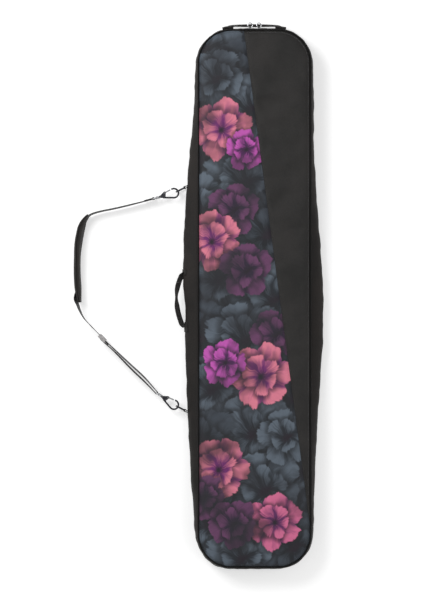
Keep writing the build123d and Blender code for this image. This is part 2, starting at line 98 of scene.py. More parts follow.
# %% [markdown]
# Materials are built from nodes. A node tree can be clicked together by hand,
# but code keeps its numbers in one place. Here a node's output is wrapped as a
# field, and a sum written on fields, such as a * b + c, adds the Math nodes
# that work it out. So a material reads like the formula that it is.

# %% Screen colours
def colour(red, green, blue):
    """A screen colour, 0 to 255, as the linear colour that shaders use."""
    linear = []
    for value in (red, green, blue):
        value /= 255
        linear.append(value / 12.92 if value <= 0.04045 else ((value + 0.055) / 1.055) ** 2.4)
    return (*linear, 1.0)


print("middle grey as light:", round(colour(128, 128, 128)[0], 3))

# %% [markdown]
# A node's output is wrapped in a Field, so that plain arithmetic can be
# written in Python and each sign adds its Math node. The tree comes out the
# same as one that is clicked together, but it reads as a formula.

# %% Fields
class Field:
    """A node's output, on which arithmetic adds Math nodes."""

    def __init__(self, socket):
        self.socket, self.tree = socket, socket.id_data

    def __add__(self, other):
        return worked("ADD", self, other)

    def __sub__(self, other):
        return worked("SUBTRACT", self, other)

    def __rsub__(self, other):
        return worked("SUBTRACT", other, self)

    def __mul__(self, other):
        return worked("MULTIPLY", self, other)

    def __truediv__(self, other):
        return worked("DIVIDE", self, other)

    def __rtruediv__(self, other):
        return worked("DIVIDE", other, self)


def put(socket, value):
    """Fills an input with a number, a colour or a field."""
    if isinstance(value, Field):
        socket.id_data.links.new(value.socket, socket)
    else:
        socket.default_value = value


def node(tree, kind, values=None, **settings):
    """Adds a node; values go into its inputs."""
    made = tree.nodes.new(kind)
    for name, value in settings.items():
        setattr(made, name, value)
    for name, value in (values or {}).items():
        put(made.inputs[name], value)
    return made


def field(tree, kind, values=None, output=0, **settings):
    """Adds a node and gives one of its outputs."""
    return Field(node(tree, kind, values, **settings).outputs[output])


def worked(operation, *values, kind="ShaderNodeMath"):
    """One step of arithmetic on fields or numbers."""
    tree = next(value.tree for value in values if isinstance(value, Field))
    return field(tree, kind, dict(enumerate(values)), operation=operation)


def vector_worked(operation, *values):
    return worked(operation, *values, kind="ShaderNodeVectorMath")


print("signs that add nodes: + - * /")

# %% [markdown]
# A few parts come back in every fabric and metal: noise that clouds a colour,
# a smooth step between two values, a mix of two tones, and bumps that turn a
# height into shading. They are written once here. Real geometry is kept for
# what shows in the outline, and bumps do what is finer than a thread.

# %% Shader helpers
def sides_of(place):
    """The x and y of a place."""
    outputs = node(place.tree, "ShaderNodeSeparateXYZ", {"Vector": place}).outputs
    return Field(outputs["X"]), Field(outputs["Y"])


def mixed(share, first, second):
    """Two colours mixed by share."""
    values = {0: share, 6: first, 7: second}
    return field(share.tree, "ShaderNodeMix", values, 2, data_type="RGBA")


def stepped(value, low, high, start=0.0, end=1.0):
    """A smooth rise from start to end while value goes from low to high."""
    values = {"Value": value, "From Min": low, "From Max": high, "To Min": start, "To Max": end}
    return field(
        value.tree, "ShaderNodeMapRange", values, "Result", interpolation_type="SMOOTHSTEP"
    )


def noise_of(place, scale, detail=3.0, roughness=0.5, output="Fac"):
    values = {"Vector": place, "Scale": scale, "Detail": detail, "Roughness": roughness}
    return field(place.tree, "ShaderNodeTexNoise", values, output)


def material_of(name, base, roughness, **values):
    """A material, its Principled shader, and the place on the object as a field."""
    made = bpy.data.materials.new(name)
    made.use_nodes = True
    made.diffuse_color = base
    shader = made.node_tree.nodes["Principled BSDF"]
    for key, value in {"Base Color": base, "Roughness": roughness, **values}.items():
        put(shader.inputs[key.replace("_", " ")], value)
    return made, shader, field(made.node_tree, "ShaderNodeTexCoord", output="Object")


def tint(shader, share, first, second):
    put(shader.inputs["Base Color"], mixed(share, first, second))


def bump(shader, *heights):
    """Chains bumps; each is (height field, strength, distance in metres)."""
    normal = {}
    for height, strength, distance in heights:
        values = {"Height": height, "Strength": strength, "Distance": distance, **normal}
        normal = {"Normal": field(height.tree, "ShaderNodeBump", values, "Normal")}
    put(shader.inputs["Normal"], normal["Normal"])


print("shader helpers: sides_of, mixed, stepped, noise_of, material_of, tint, bump")

# %% [markdown]
# The outer shell is sewn from a coarse, coated nylon. Up close it is a plain
# weave with a dull sheen, and from afar its black is a little uneven, because
# the coating catches the light where the padding pushes it up. That sheen is
# painted into the colour here, as lighter patches of noise. The weave is a
# product of two sines, which costs less than a texture of threads and has no
# seams. Noise at two sizes varies the painted sheen in the tone, and the gloss.

# %% Black shell fabric
THREAD = 0.0009  # metres from one thread to the next
CLOUDS, LUMPS, GRAIN = 9.0, 60.0, 420.0  # noise scales, coarse to fine
SMOOTH_SPOTS, DULL_SPOTS = 0.52, 0.7


def plain_weave(place, pitch):
    """Threads over and under, with one thread every pitch metres each way."""
    x, y = sides_of(place)
    turn = math.pi / pitch
    return worked("SINE", x * turn) * worked("SINE", y * turn)


def nylon(name, base, pale_tone, sheen, gloss):
    made, shader, place = material_of(
        name, base, 0.62, Sheen_Weight=sheen, Sheen_Roughness=0.45, Specular_IOR_Level=gloss
    )
    cloud = noise_of(place, CLOUDS, 4.0)
    tone = cloud * 0.7 + noise_of(place, GRAIN, 2.0) * 0.3
    # painted sheen: the lighter tone stands for light that the coating catches
    tint(shader, stepped(tone, 0.35, 0.65), base, pale_tone)
    put(shader.inputs["Roughness"], stepped(cloud, 0.3, 0.7, SMOOTH_SPOTS, DULL_SPOTS))
    weave, lumps = plain_weave(place, THREAD), noise_of(place, LUMPS)
    bump(shader, (weave, 0.35, 0.0003), (lumps, 0.25, 0.0012))
    return made


panel_nylon = nylon("panel_nylon", colour(25, 24, 23), colour(42, 40, 39), 0.05, 0.28)
wall_nylon = nylon("wall_nylon", colour(25, 23, 22), colour(44, 40, 38), 0.03, 0.22)
back_nylon = nylon("back_nylon", colour(38, 38, 39), colour(48, 47, 47), 0.15, 0.35)
print("shell fabrics:", panel_nylon.name, wall_nylon.name, back_nylon.name)

# %% [markdown]
# Webbing is woven tape with raised ribs that run along it. Each strap stores
# its own place on the tape, along and across, as a mesh attribute, so that
# the ribs follow every bend. A texture laid over the whole object would run
# across the strap wherever it turns.

# %% Webbing, zip tape and piping
def taped(name, base, lit, rib, roughness, sheen=0.1, gloss=0.5):
    """Woven tape: ribs along it and a fine twill across them."""
    made, shader, spot = material_of(
        name, base, roughness, Sheen_Weight=sheen, Sheen_Roughness=0.4, Specular_IOR_Level=gloss
    )
    place = field(
        spot.tree, "ShaderNodeAttribute", output="Vector", attribute_name="cloth_place"
    )
    along, across = sides_of(place)
    ribs = worked("SINE", across * (2 * math.pi / rib))
    slanted = along + worked("ABSOLUTE", ribs) * (rib * 0.4)
    twill = worked("SINE", slanted * (2 * math.pi / (rib * 0.7)))
    height = ribs + twill * 0.5
    tint(shader, stepped(height * 0.2 + noise_of(spot, 35.0), 0.1, 0.9), base, lit)
    bump(shader, (height, 0.5, rib * 0.25))
    return made


STRAP_RIB, ZIP_RIB, PIPING_RIB = 0.0032, 0.0011, 0.0012
strap_tape = taped(
    "strap_tape", colour(24, 24, 24), colour(48, 46, 46), STRAP_RIB, 0.55, 0.06, 0.35
)
handle_tape = taped(
    "handle_tape", colour(24, 22, 21), colour(44, 41, 39), STRAP_RIB, 0.55, 0.05, 0.3
)
zip_cloth = taped("zip_cloth", colour(26, 26, 27), colour(44, 44, 45), ZIP_RIB, 0.7)
piping_cloth = taped(
    "piping_cloth", colour(16, 15, 15), colour(30, 29, 28), PIPING_RIB, 0.65, 0.02, 0.15
)
print("tapes:", strap_tape.name, handle_tape.name, zip_cloth.name, piping_cloth.name)

# %% [markdown]
# The seams are sewn with a thick polyester thread: grey along the plain side
# of the front, and nearly black everywhere else. Its twist is far too fine to
# model, so noise in the tone and a slight bump stand for the fibres.

# %% Sewing thread
def spun(name, dark, light):
    made, shader, place = material_of(name, colour(92, 90, 92), 0.6, Sheen_Weight=0.2)
    tint(shader, stepped(noise_of(place, 300.0), 0.3, 0.7), dark, light)
    bump(shader, (noise_of(place, 2500.0), 0.4, 0.0002))
    return made


thread = spun("thread", colour(74, 72, 74), colour(112, 110, 112))
dark_thread = spun("dark_thread", colour(30, 30, 31), colour(54, 53, 54))
print("threads:", thread.name, dark_thread.name)

# %% [markdown]
# The metal parts are cast zinc. The hooks and rings have a dark plating that
# has worn to a lighter edge, and the eyes, gates and zip rings are bright.
# Wear can be found by tracing rays round each edge or from the Pointiness of
# the mesh; here it is Pointiness, as it costs nothing and follows the CAD
# shapes. The zip's coil is a plastic, rubbed paler in places.

# %% Metals and the zip's plastic
def metal(name, base, bare, roughness):
    made, shader, place = material_of(name, base, roughness, Metallic=1.0)
    edge = field(place.tree, "ShaderNodeNewGeometry", output="Pointiness")
    patch = noise_of(place, 180.0, 4.0)
    pale_tone = stepped(edge, 0.56, 0.68) * stepped(patch, 0.5, 0.75, 0.0, 0.6)
    tint(shader, pale_tone, base, bare)
    put(shader.inputs["Roughness"], stepped(patch, 0.2, 0.8, roughness * 0.75, roughness * 1.4))
    bump(shader, (noise_of(place, 900.0), 0.12, 0.0003))
    return made


dark_metal = metal("dark_metal", colour(64, 64, 68), colour(150, 150, 152), 0.36)
bright_metal = metal("bright_metal", colour(205, 206, 208), colour(232, 232, 232), 0.2)
glide_metal = metal("glide_metal", colour(198, 195, 195), colour(228, 228, 228), 0.3)

chain_plastic, shader, place = material_of(
    "chain_plastic", colour(30, 30, 32), 0.35, Specular_IOR_Level=0.6
)
tint(shader, stepped(noise_of(place, 90.0), 0.4, 0.7), colour(26, 26, 28), colour(58, 58, 60))
bump(shader, (noise_of(place, 1500.0), 0.2, 0.0002))
print("metals:", dark_metal.name, bright_metal.name, glide_metal.name)

# %% [markdown]
# The printed half of the front carries a made-up floral: big loose blossoms
# on a dark ground. It could be painted as an image, but a shader that draws
# one blossom from a place, a size and two colours gives sharp petals at any
# distance. The group draws a ring of petals, a smaller ring over it, and a
# dark heart. Fibres run out from the heart, and each petal is darker where
# its neighbour lies over it.

# %% One blossom as a node group
BLOSSOM_INPUTS = {
    "Under": "Color", "Place": "Vector", "Centre": "Vector", "Radius": "Float",
    "Turn": "Float", "Petals": "Float", "Light": "Color", "Deep": "Color",
}
PETAL_RINGS = ((1.0, 0.0), (0.62, 0.45))  # size, and turn in petals
RAGGED, WAVY = 0.22, 0.62
PETAL_SHADE, HEART_COLOUR = colour(29, 31, 35), colour(34, 27, 36)


def petal_ring(reach, angle, petals, size, offset, fibres):
    """How far inside a ring of petals a point is, and how brightly it is lit."""
    turns = worked("FRACT", angle * petals / (2 * math.pi) + (20.0 + offset))
    side = worked("ABSOLUTE", turns * 2.0 - 1.0)
    round_top = worked("SQRT", 1.02 - side * side)
    edge = (round_top * 0.28 + 0.72 + (fibres - 0.5) * RAGGED) * size
    depth = stepped(reach / edge, 0.1, 0.95)
    fold = stepped(side, 0.4, 1.0) * 0.55
    return edge - reach, depth * 0.8 + fibres * 1.3 - fold - 0.62


def blossom_group():
    """The colour of a blossom, over another colour, at a place on the cloth."""
    group = bpy.data.node_groups.new("blossom", "ShaderNodeTree")
    for name, kind in BLOSSOM_INPUTS.items():
        group.interface.new_socket(name, in_out="INPUT", socket_type=f"NodeSocket{kind}")
    group.interface.new_socket("Colour", in_out="OUTPUT", socket_type="NodeSocketColor")
    get = {socket.name: Field(socket) for socket in node(group, "NodeGroupInput").outputs}

    centred = vector_worked("SUBTRACT", get["Place"], get["Centre"])
    scaled = field(
        group, "ShaderNodeVectorMath", {0: centred, "Scale": 1.0 / get["Radius"]},
        operation="SCALE",
    )
    # the light colour serves as the seed of a blossom's wavy outline
    seeded = vector_worked("ADD", scaled, get["Light"])
    ripple = noise_of(seeded, 1.5, 2.0, output="Color")
    ripple = vector_worked("SUBTRACT", ripple, (0.5, 0.5, 0.5))
    x, y = sides_of(vector_worked("MULTIPLY_ADD", ripple, (WAVY, WAVY, 0.0), scaled))
    reach = worked("SQRT", x * x + y * y)
    angle = worked("ARCTAN2", y, x) + get["Turn"]
    ray = {"X": x / (reach + 0.04), "Y": y / (reach + 0.04), "Z": reach * 0.16}
    fibres = noise_of(field(group, "ShaderNodeCombineXYZ", ray), 9.0, 3.0, 0.65)

    result = get["Under"]
    for size, offset in PETAL_RINGS:
        inside, lit = petal_ring(reach, angle, get["Petals"], size, offset, fibres)
        petal = mixed(stepped(lit, 0.0, 0.9), get["Deep"], get["Light"])
        result = mixed(stepped(inside, -0.22, 0.0) * 0.6, result, PETAL_SHADE)
        result = mixed(stepped(inside, 0.0, 0.05), result, petal)
    result = mixed(stepped(reach + fibres * 0.3, 0.42, 0.16), result, HEART_COLOUR)
    put(node(group, "NodeGroupOutput").inputs["Colour"], result)
    return group


blossom = blossom_group()
print("blossom group:", len(blossom.nodes), "nodes")

# %% [markdown]
# The print lays many blossoms over each other, the large slate ones first and
# the coral and magenta ones last. Each has its own place, size, turn and
# number of petals. A ground of soft leaves fills what they leave open, and
# clouds of shadow over all of it let some blossoms sink into the dark.

# %% Blossoms of the print
CORAL = (colour(212, 120, 140), colour(104, 40, 100))
ROSE = (colour(204, 104, 142), colour(88, 38, 86))
MAGENTA = (colour(186, 82, 170), colour(70, 32, 76))
PLUM = (colour(98, 58, 92), colour(42, 32, 50))
SLATE = (colour(88, 98, 109), colour(34, 38, 44))
INK = (colour(62, 69, 78), colour(27, 30, 35))
# each blossom: place in millimetres, radius, turn, petals, colours
BLOSSOMS = (
    (-150, 735, 118, 0.3, 5, SLATE), (-52, 655, 112, 1.1, 6, INK),
    (-168, 585, 105, 2.0, 5, SLATE), (-14, 560, 110, 0.4, 5, SLATE),
    (-158, 410, 118, 0.9, 5, INK), (-30, 345, 122, 1.7, 5, SLATE),
    (-160, 262, 112, 0.1, 6, SLATE), (34, 190, 116, 2.2, 5, INK),
    (-106, 62, 126, 1.2, 5, SLATE), (52, 0, 116, 0.6, 5, SLATE),
    (-158, -112, 114, 1.9, 5, INK), (-30, -118, 118, 0.8, 6, SLATE),
    (-128, -262, 118, 0.5, 5, SLATE), (112, -292, 114, 1.4, 5, INK),
    (-8, -392, 122, 2.4, 5, SLATE), (132, -505, 112, 0.2, 5, SLATE),
    (-158, -420, 108, 1.0, 5, INK), (26, -560, 120, 1.8, 6, SLATE),
    (-140, -655, 112, 0.7, 5, SLATE), (112, -728, 112, 2.1, 5, INK),
    (-40, -760, 104, 1.5, 5, SLATE), (-116, 648, 92, 0.8, 5, SLATE),
    (-96, 498, 92, 1.3, 6, CORAL), (-26, 436, 62, 0.2, 5, MAGENTA),
    (-60, 262, 80, 0.5, 5, PLUM), (-124, 170, 90, 0.9, 6, CORAL),
    (-24, 84, 82, 1.6, 5, PLUM), (62, -104, 78, 1.2, 5, PLUM),
    (20, -226, 98, 0.4, 6, CORAL), (-88, -190, 70, 1.8, 5, MAGENTA),
    (92, -404, 86, 0.1, 5, SLATE), (-104, -500, 94, 0.6, 6, CORAL),
    (-150, -584, 70, 2.0, 5, PLUM), (60, -656, 84, 1.1, 6, ROSE),
    (-64, -662, 76, 0.9, 5, PLUM),
)
print("blossoms in the print:", len(BLOSSOMS))

# %% [markdown]
# The cloth under the blossoms is printed with dark leaves: bent bands of a
# wave texture, with a cell texture for their veins. The blossoms are then laid
# on it one by one, and soft clouds darken the whole, as ink on a coarse weave
# never covers evenly.

# %% Printed fabric
# Each blossom's place hangs on the colour drawn before it, by a ten-thousandth
# of a millimetre. That makes the renderer draw them one after another: worked
# out all at once, so many blossoms are more than a shader can hold.
TIE = 1e-7


def printed_nylon():
    made, shader, place = material_of(
        "printed_nylon", SLATE[1], 0.6,
        Sheen_Weight=0.08, Sheen_Roughness=0.45, Specular_IOR_Level=0.3,
    )
    flat = vector_worked("MULTIPLY", place, (1.0, 1.0, 0.0))
    wobble = noise_of(flat, 7.0, 2.0, output="Color")
    bent = vector_worked("MULTIPLY_ADD", wobble, (0.16, 0.16, 0.0), flat)
    leaves = {
        "Vector": bent, "Scale": 6.0, "Distortion": 5.0, "Detail": 2.0, "Detail Scale": 2.0
    }
    leaf = field(place.tree, "ShaderNodeTexWave", leaves, "Fac")
    vein = field(
        place.tree, "ShaderNodeTexVoronoi", {"Vector": bent, "Scale": 15.0}, "Distance",
        feature="DISTANCE_TO_EDGE",
    )
    shown = mixed(leaf, colour(36, 39, 44), colour(70, 78, 88))
    shown = mixed(stepped(vein, 0.05, 0.0), shown, colour(31, 33, 37))
    for x, y, radius, turn, petals, (light, deep) in BLOSSOMS:
        values = {
            "Under": shown, "Place": flat, "Centre": (x * MM, y * MM, 0.0),
            "Radius": radius * MM, "Turn": turn, "Petals": petals, "Light": light, "Deep": deep,
        }
        shown = field(place.tree, "ShaderNodeGroup", values, "Colour", node_tree=blossom)
        flat = vector_worked("MULTIPLY_ADD", shown, (TIE, TIE, 0.0), flat)
    clouds = stepped(noise_of(place, 8.0, 3.0), 0.56, 0.36, 0.0, 0.72)
    tint(shader, clouds, shown, colour(34, 35, 40))
    weave, lumps = plain_weave(place, THREAD), noise_of(place, LUMPS)
    bump(shader, (weave, 0.3, 0.0003), (lumps, 0.2, 0.001))
    return made


print_nylon = printed_nylon()
print("printed fabric:", len(print_nylon.node_tree.nodes), "nodes")

# %% [markdown]
# The lining is a thin taffeta with a small diamond quilt that holds it to the
# foam behind. It is seen only with the bag open. The quilt lines are dents in
# the normal, made from two crossed waves, as modelled ones would be too fine
# to matter. The shoulder pad has a knitted cover with small holes.

# %% Lining and shoulder pad cover
QUILT = 0.05
LINING_THREAD = 0.0006


def lining_cloth():
    made, shader, place = material_of(
        "lining_cloth", colour(58, 60, 64), 0.45, Sheen_Weight=0.3
    )
    x, y = sides_of(place)
    lines = [worked("ABSOLUTE", worked("SINE", way * (math.pi / QUILT))) for way in (x + y, x - y)]
    quilt = worked("POWER", worked("MINIMUM", *lines), 0.4)
    tint(shader, quilt * noise_of(place, 14.0), colour(42, 43, 46), colour(74, 76, 80))
    bump(shader, (quilt, 0.6, 0.003), (plain_weave(place, LINING_THREAD), 0.2, 0.0002))
    return made


def pad_cloth():
    made, shader, place = material_of(
        "pad_cloth", colour(28, 26, 25), 0.75, Sheen_Weight=0.05, Specular_IOR_Level=0.3
    )
    holes = {"Vector": place, "Scale": 520.0}
    dot = stepped(field(place.tree, "ShaderNodeTexVoronoi", holes, "Distance"), 0.2, 0.5)
    cloud = noise_of(place, 25.0)
    tint(shader, dot * cloud, colour(24, 22, 21), colour(56, 51, 48))
    bump(shader, (dot, 0.5, 0.0005), (cloud, 0.2, 0.002))
    return made


lining_fabric = lining_cloth()
pad_fabric = pad_cloth()
print("lining and pad:", lining_fabric.name, pad_fabric.name)

# %% [markdown]
# Nearly every soft piece of the bag is a skin over rows of points: a row of
# points across, repeated along. Writing that once gives panels, walls, tubes
# and straps. The helper also stores how far each point lies along and across
# its piece, which the webbing material reads.

# %% Mesh helpers
def piece(name, points, faces, body, material, replaces=(), places=None):
    """A mesh from points in millimetres, riding on a body of the frame."""
    mesh = bpy.data.meshes.new(name)
    mesh.from_pydata([tuple(c * MM for c in p) for p in points], [], faces)
    mesh.validate()
    if places is not None:
        layer = mesh.attributes.new("cloth_place", "FLOAT_VECTOR", "POINT")
        layer.data.foreach_set("vector", np.array(places, dtype=np.float32).ravel() * MM)
    mesh.shade_smooth()
    mesh.materials.append(material)
    obj = bpy.data.objects.new(name, mesh)
    scene.collection.objects.link(obj)
    if body:
        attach(obj, body)
    if replaces:
        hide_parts(*replaces)
    return obj


def run_of(rows, axis):
    """How far each point lies from the first one, along one way of the rows."""
    far = np.linalg.norm(np.diff(rows, axis=axis), axis=2).cumsum(axis=axis)
    return np.pad(far, ((1 - axis, 0), (axis, 0)))


def skinned(
    name, rows, body, material, replaces=(),
    close_row=False, close_all=False, caps=False,
):
    """A skin over rows of points."""
    rows = np.asarray(rows, dtype=float)
    count, width = rows.shape[:2]
    faces = []
    for i in range(count if close_all else count - 1):
        here, there = i * width, (i + 1) % count * width
        for j in range(width if close_row else width - 1):
            k = (j + 1) % width
            faces.append((here + j, here + k, there + k, there + j))
    if caps:
        faces.append(tuple(range(width))[::-1])
        faces.append(tuple(range((count - 1) * width, count * width)))
    places = np.stack([run_of(rows, 0), run_of(rows, 1), np.zeros((count, width))], axis=2)
    points = rows.reshape(-1, 3)
    return piece(name, points, faces, body, material, replaces, places.reshape(-1, 3))


print("a skin of 3 by 4 points has", 2 * 3, "faces")

# %% [markdown]
# Cloth has a thickness, and a skin of points has none. A Solidify modifier
# gives it one, and some pieces are also subdivided to round their folds. The
# modifiers are applied at once, so that every later step sees the real mesh.
# Folds come from one smooth noise, which every panel reads in its own way.

# %% Thickness and folds
def applied(obj):
    """Turns an object's modifiers into its own mesh."""
    view = bpy.context.evaluated_depsgraph_get()
    view.update()
    mesh = bpy.data.meshes.new_from_object(
        obj.evaluated_get(view), preserve_all_data_layers=True, depsgraph=view
    )
    obj.modifiers.clear()
    obj.data = mesh
    obj.data.shade_smooth()


def smoothed(obj):
    smooth = obj.modifiers.new("smooth", "SUBSURF")
    smooth.levels = smooth.render_levels = 1


def thickened(obj, amount, offset=-1.0, smooth=False):
    """Gives a skin its cloth thickness, in millimetres."""
    solid = obj.modifiers.new("thickness", "SOLIDIFY")
    solid.thickness = amount * MM
    solid.offset = offset
    if smooth:
        smoothed(obj)
    applied(obj)


def wave(place, size, seed=0.0):
    """Smooth noise, -1 to 1, at a place in millimetres."""
    x, y, z = place
    return noise.noise(Vector((x / size + seed, y / size - seed, z / size + 2 * seed)))


print("noise at the middle of the bag:", round(wave((0, 0, 0), 50, 1.0), 3))

# %% [markdown]
# The outline is the sewn seam: straight ends, round corners and straight
# sides. The wall between the two seams bulges past it, more at the long sides
# than at the ends, where the padding pushes out. One function gives the
# outline at any height, so that wall, piping, zip and lining all agree.

# %% Outline of the bag
HALF_WIDTH, HALF_LENGTH, CORNER = 166.0, 791.0, 98.0
CORNER_X, CORNER_Y = HALF_WIDTH - CORNER, HALF_LENGTH - CORNER
END_SWELL = 9.0
# how far each side bulges at each y
LEFT_SWELL = (
    (693, 0), (560, 4), (400, 20), (150, 35), (-200, 28), (-440, 18), (-600, 8), (-693, 0)
)
RIGHT_SWELL = ((693, 0), (400, 4), (150, 21), (-70, 30), (-250, 19), (-430, 8), (-693, 0))
PIPING = 2.5
BACK_PIPING_Z, FRONT_PIPING_Z = 4.5, 88.1
WALL_LOW, WALL_HIGH = 7.0, 62.0
LID_Z = 85.6
print("seam to seam:", 2 * HALF_WIDTH, "by", 2 * HALF_LENGTH, "mm")

# %% [markdown]
# The long sides bulge between the corners, each in its own way. The swell is
# read from a short table and eased in between, so that the wall has no kink.
# One function then walks round the seam. It serves the front, the walls, the
# back, the piping and the zip, and so they all meet.

# %% Walk round the seam
def eased(distance, run):
    """From 0 to 1 over a run."""
    return min(1.0, max(0.0, distance / run))


def swell_at(y, table):
    """The side's swell at y, eased between the values of its table."""
    ys, values = zip(*reversed(table))
    i = max(0, min(len(ys) - 2, int(np.searchsorted(ys, y)) - 1))
    run = ys[i + 1] - ys[i]
    t = eased(y - ys[i], run)
    slopes = np.gradient(values, ys) * run
    ends = (2 * t**3 - 3 * t**2 + 1) * values[i] + (3 * t**2 - 2 * t**3) * values[i + 1]
    return ends + (t**3 - 2 * t**2 + t) * slopes[i] + (t**3 - t**2) * slopes[i + 1]


def outline(step, inset=0.0, share=0.0):
    """The seam clockwise from the top left, as (x, y, out x, out y)."""
    radius = CORNER - inset + share * END_SWELL
    points = []

    def arc(cx, cy, start):
        count = max(6, round(CORNER * math.pi / 2 / min(step, 6.0)))
        for i in range(count):
            turn = math.radians(start - 90 * i / count)
            out = (math.cos(turn), math.sin(turn))
            points.append((cx + radius * out[0], cy + radius * out[1], *out))

    def run(start, end, out, table=None):
        count = max(2, round(math.dist(start, end) / step))
        for i in range(count):
            x = start[0] + (end[0] - start[0]) * i / count
            y = start[1] + (end[1] - start[1]) * i / count
            if table:
                x += out[0] * share * swell_at(y, table)
            points.append((x, y, *out))

    side, end = CORNER_X + radius, CORNER_Y + radius
    run((-CORNER_X, end), (CORNER_X, end), (0, 1))
    arc(CORNER_X, CORNER_Y, 90)
    run((side, CORNER_Y), (side, -CORNER_Y), (1, 0), RIGHT_SWELL)
    arc(CORNER_X, -CORNER_Y, 0)
    run((CORNER_X, -end), (-CORNER_X, -end), (0, -1))
    arc(-CORNER_X, -CORNER_Y, -90)
    run((-side, -CORNER_Y), (-side, CORNER_Y), (-1, 0), LEFT_SWELL)
    arc(-CORNER_X, CORNER_Y, 180)
    return points


seam = outline(8.0)
seam_length = sum(math.dist(a[:2], b[:2]) for a, b in zip(seam, seam[1:]))
print("seam outline:", round(seam_length), "mm round")

# %% [markdown]
# The front is a padded panel in two fabrics. Its face rises steeply from the
# piping and then slowly to the middle. A slanting seam parts the print from
# the plain fabric; there the face dips and puckers, since the seam is tighter
# than the foam under it. A cloth simulation would give such folds too, but it
# can't hold a dimension, so the folds are written as smooth noise: long ones
# that cross the panel, and short ones that start at the seams and fade out.

# %% Folds and edges of the front
SEAM_TOP_X, SEAM_SLOPE = -32.0, 0.1337
FACE_RISE = ((11.0, 5.0), (6.5, 40.0))  # height, and the run that it takes
# folds: height, shares of x and y, level, size and seed
PUCKERS = ((1.1, 0.6, 1.0, 0, 26, 3.0),)
SEAM_PUCKERS = ((1.2, 0.5, 1.0, 9, 20, 7.0),)
SLANTED_FOLDS = ((2.2, 0.45, 1.1, 0, 80, 11.0),)
SMALL_FOLDS = ((0.9, 1.0, 1.0, 0, 34, 5.0),)
PLAIN_FOLDS = ((4.0, 0.22, 1.0, 3, 46, 21.0), (2.4, 0.5, 0.8, 6, 26, 23.0))
CREASES = ((8.0, 0.3, 1.4, 0, 60, 17.0),)
CREASE_PLACES = ((1.0, 1.0, 1.0, 0, 120, 13.0),)


def folds(x, y, table):
    return sum(
        high * wave((x * across, y * along, level), size, seed)
        for high, across, along, level, size, seed in table
    )


def seam_x(y):
    return SEAM_TOP_X + SEAM_SLOPE * (HALF_LENGTH - y)


def side_x(y, inset=PIPING):
    """Half width of the panel at y."""
    radius = CORNER - inset
    over = max(0.0, abs(y) - CORNER_Y)
    return CORNER_X + math.sqrt(max(0.0, radius**2 - over**2))


def edge_distance(x, y, inset=PIPING):
    """How far inside the panel's edge a point is, and 0 outside it."""
    dx, dy = abs(x) - CORNER_X, abs(y) - CORNER_Y
    out = math.hypot(dx, dy) if dx > 0 and dy > 0 else max(dx, dy)
    return max(0.0, CORNER - inset - out)


print("half width at the top end:", round(side_x(HALF_LENGTH - 10)), "mm")

# %% [markdown]
# The height is a sum. It rises from the edge, it dips at the slanting seam,
# short puckers start at both, and long folds run over the whole face. All of
# them fade to nothing at the edge, where the piping holds the cloth down.

# %% Front surface
def bell(distance, width):
    return math.exp(-((distance / width) ** 2))


EDGE_PUCKER_REACH, SEAM_PUCKER_REACH = 22, 20
SEAM_DIP, SEAM_SAG = (2.6, 5.0), (1.2, 22)  # depth and width
CREASE_HEIGHT = 1.1


def face_height(x, y):
    """How high the front face stands over the seam's level."""
    edge = edge_distance(x, y)
    off_seam = abs(x - seam_x(y))
    slanted = (x + 0.5 * y, y - 0.5 * x)
    rise = sum(high * (1 - math.exp(-edge / run)) for high, run in FACE_RISE)
    pucker = folds(x, y, PUCKERS) * math.exp(-edge / EDGE_PUCKER_REACH) * eased(edge, 4)
    pucker += folds(x, y, SEAM_PUCKERS) * math.exp(-off_seam / SEAM_PUCKER_REACH)
    dip = SEAM_DIP[0] * bell(off_seam, SEAM_DIP[1])
    dip += SEAM_SAG[0] * math.exp(-off_seam / SEAM_SAG[1])
    long = folds(*slanted, SLANTED_FOLDS) + folds(x, y, SMALL_FOLDS)
    long += eased(x - seam_x(y), 25) * folds(x, y, PLAIN_FOLDS)
    crease = max(0.0, 1.0 - abs(folds(*slanted, CREASES)))
    long += CREASE_HEIGHT * crease * max(0.0, folds(x, y, CREASE_PLACES))
    return rise + (pucker - dip + long * eased(edge, 30)) * eased(edge, 6)


print("height at the middle of the front:", round(LID_Z + face_height(0, 0), 1), "mm")

# %% [markdown]
# The panels are skins over that surface. Points crowd towards the edges,
# where the face bends most, and lie further apart in the middle. Each panel
# ends on the slanting seam, so that the two meet there as sewn cloth does.
# Both panels are fairly full.

# %% Front panels
PANEL_CLOTH = 2.8
CELL = 5.0
PANEL_END = HALF_LENGTH - PIPING


def clustered(count, ease=0.72):
    """Shares from 0 to 1 that crowd towards both ends."""
    plain = np.linspace(0, 1, count)
    return plain * (1 - ease) + ease * (1 - np.cos(plain * math.pi)) / 2


def lengthwise(low, high, pitch):
    return low + (high - low) * clustered(round((high - low) / pitch), 0.6)


def panel(name, left, right, low, count, cloth, replaced):
    """A padded half of the front, between its left and right edges."""
    shares = clustered(count)
    rows = []
    for y in lengthwise(low, PANEL_END, CELL):
        xs = left(y) + (right(y) - left(y)) * shares
        rows.append([(x, y, LID_Z + face_height(x, y)) for x in xs])
    made = skinned(name, rows, "lid", cloth, replaced)
    thickened(made, PANEL_CLOTH)
    print(name, len(made.data.vertices), "points")


# the slanting seam meets the right edge at this y
crossing = next(y for y in np.arange(-500.0, -PANEL_END, -0.25) if seam_x(y) >= side_x(y))
panel(
    "front_print", lambda y: -side_x(y), lambda y: min(seam_x(y), side_x(y)), -PANEL_END, 52,
    print_nylon, ("front_print_panel", "front_foam"),
)
panel(
    "front_plain", seam_x, lambda y: max(side_x(y), seam_x(y)), crossing + 1.0, 44,
    panel_nylon, ("front_plain_panel",),
)

# %% [markdown]
# The padded wall, or gusset, runs all round between the two seams. It could
# be one extruded strip, but a real wall sags and ripples between its seams:
# the cloth is longer than the seam that gathers it. So rows of points climb
# from the lower seam to the upper one along the bulge, and noise pushes them
# in and out, most at mid height.

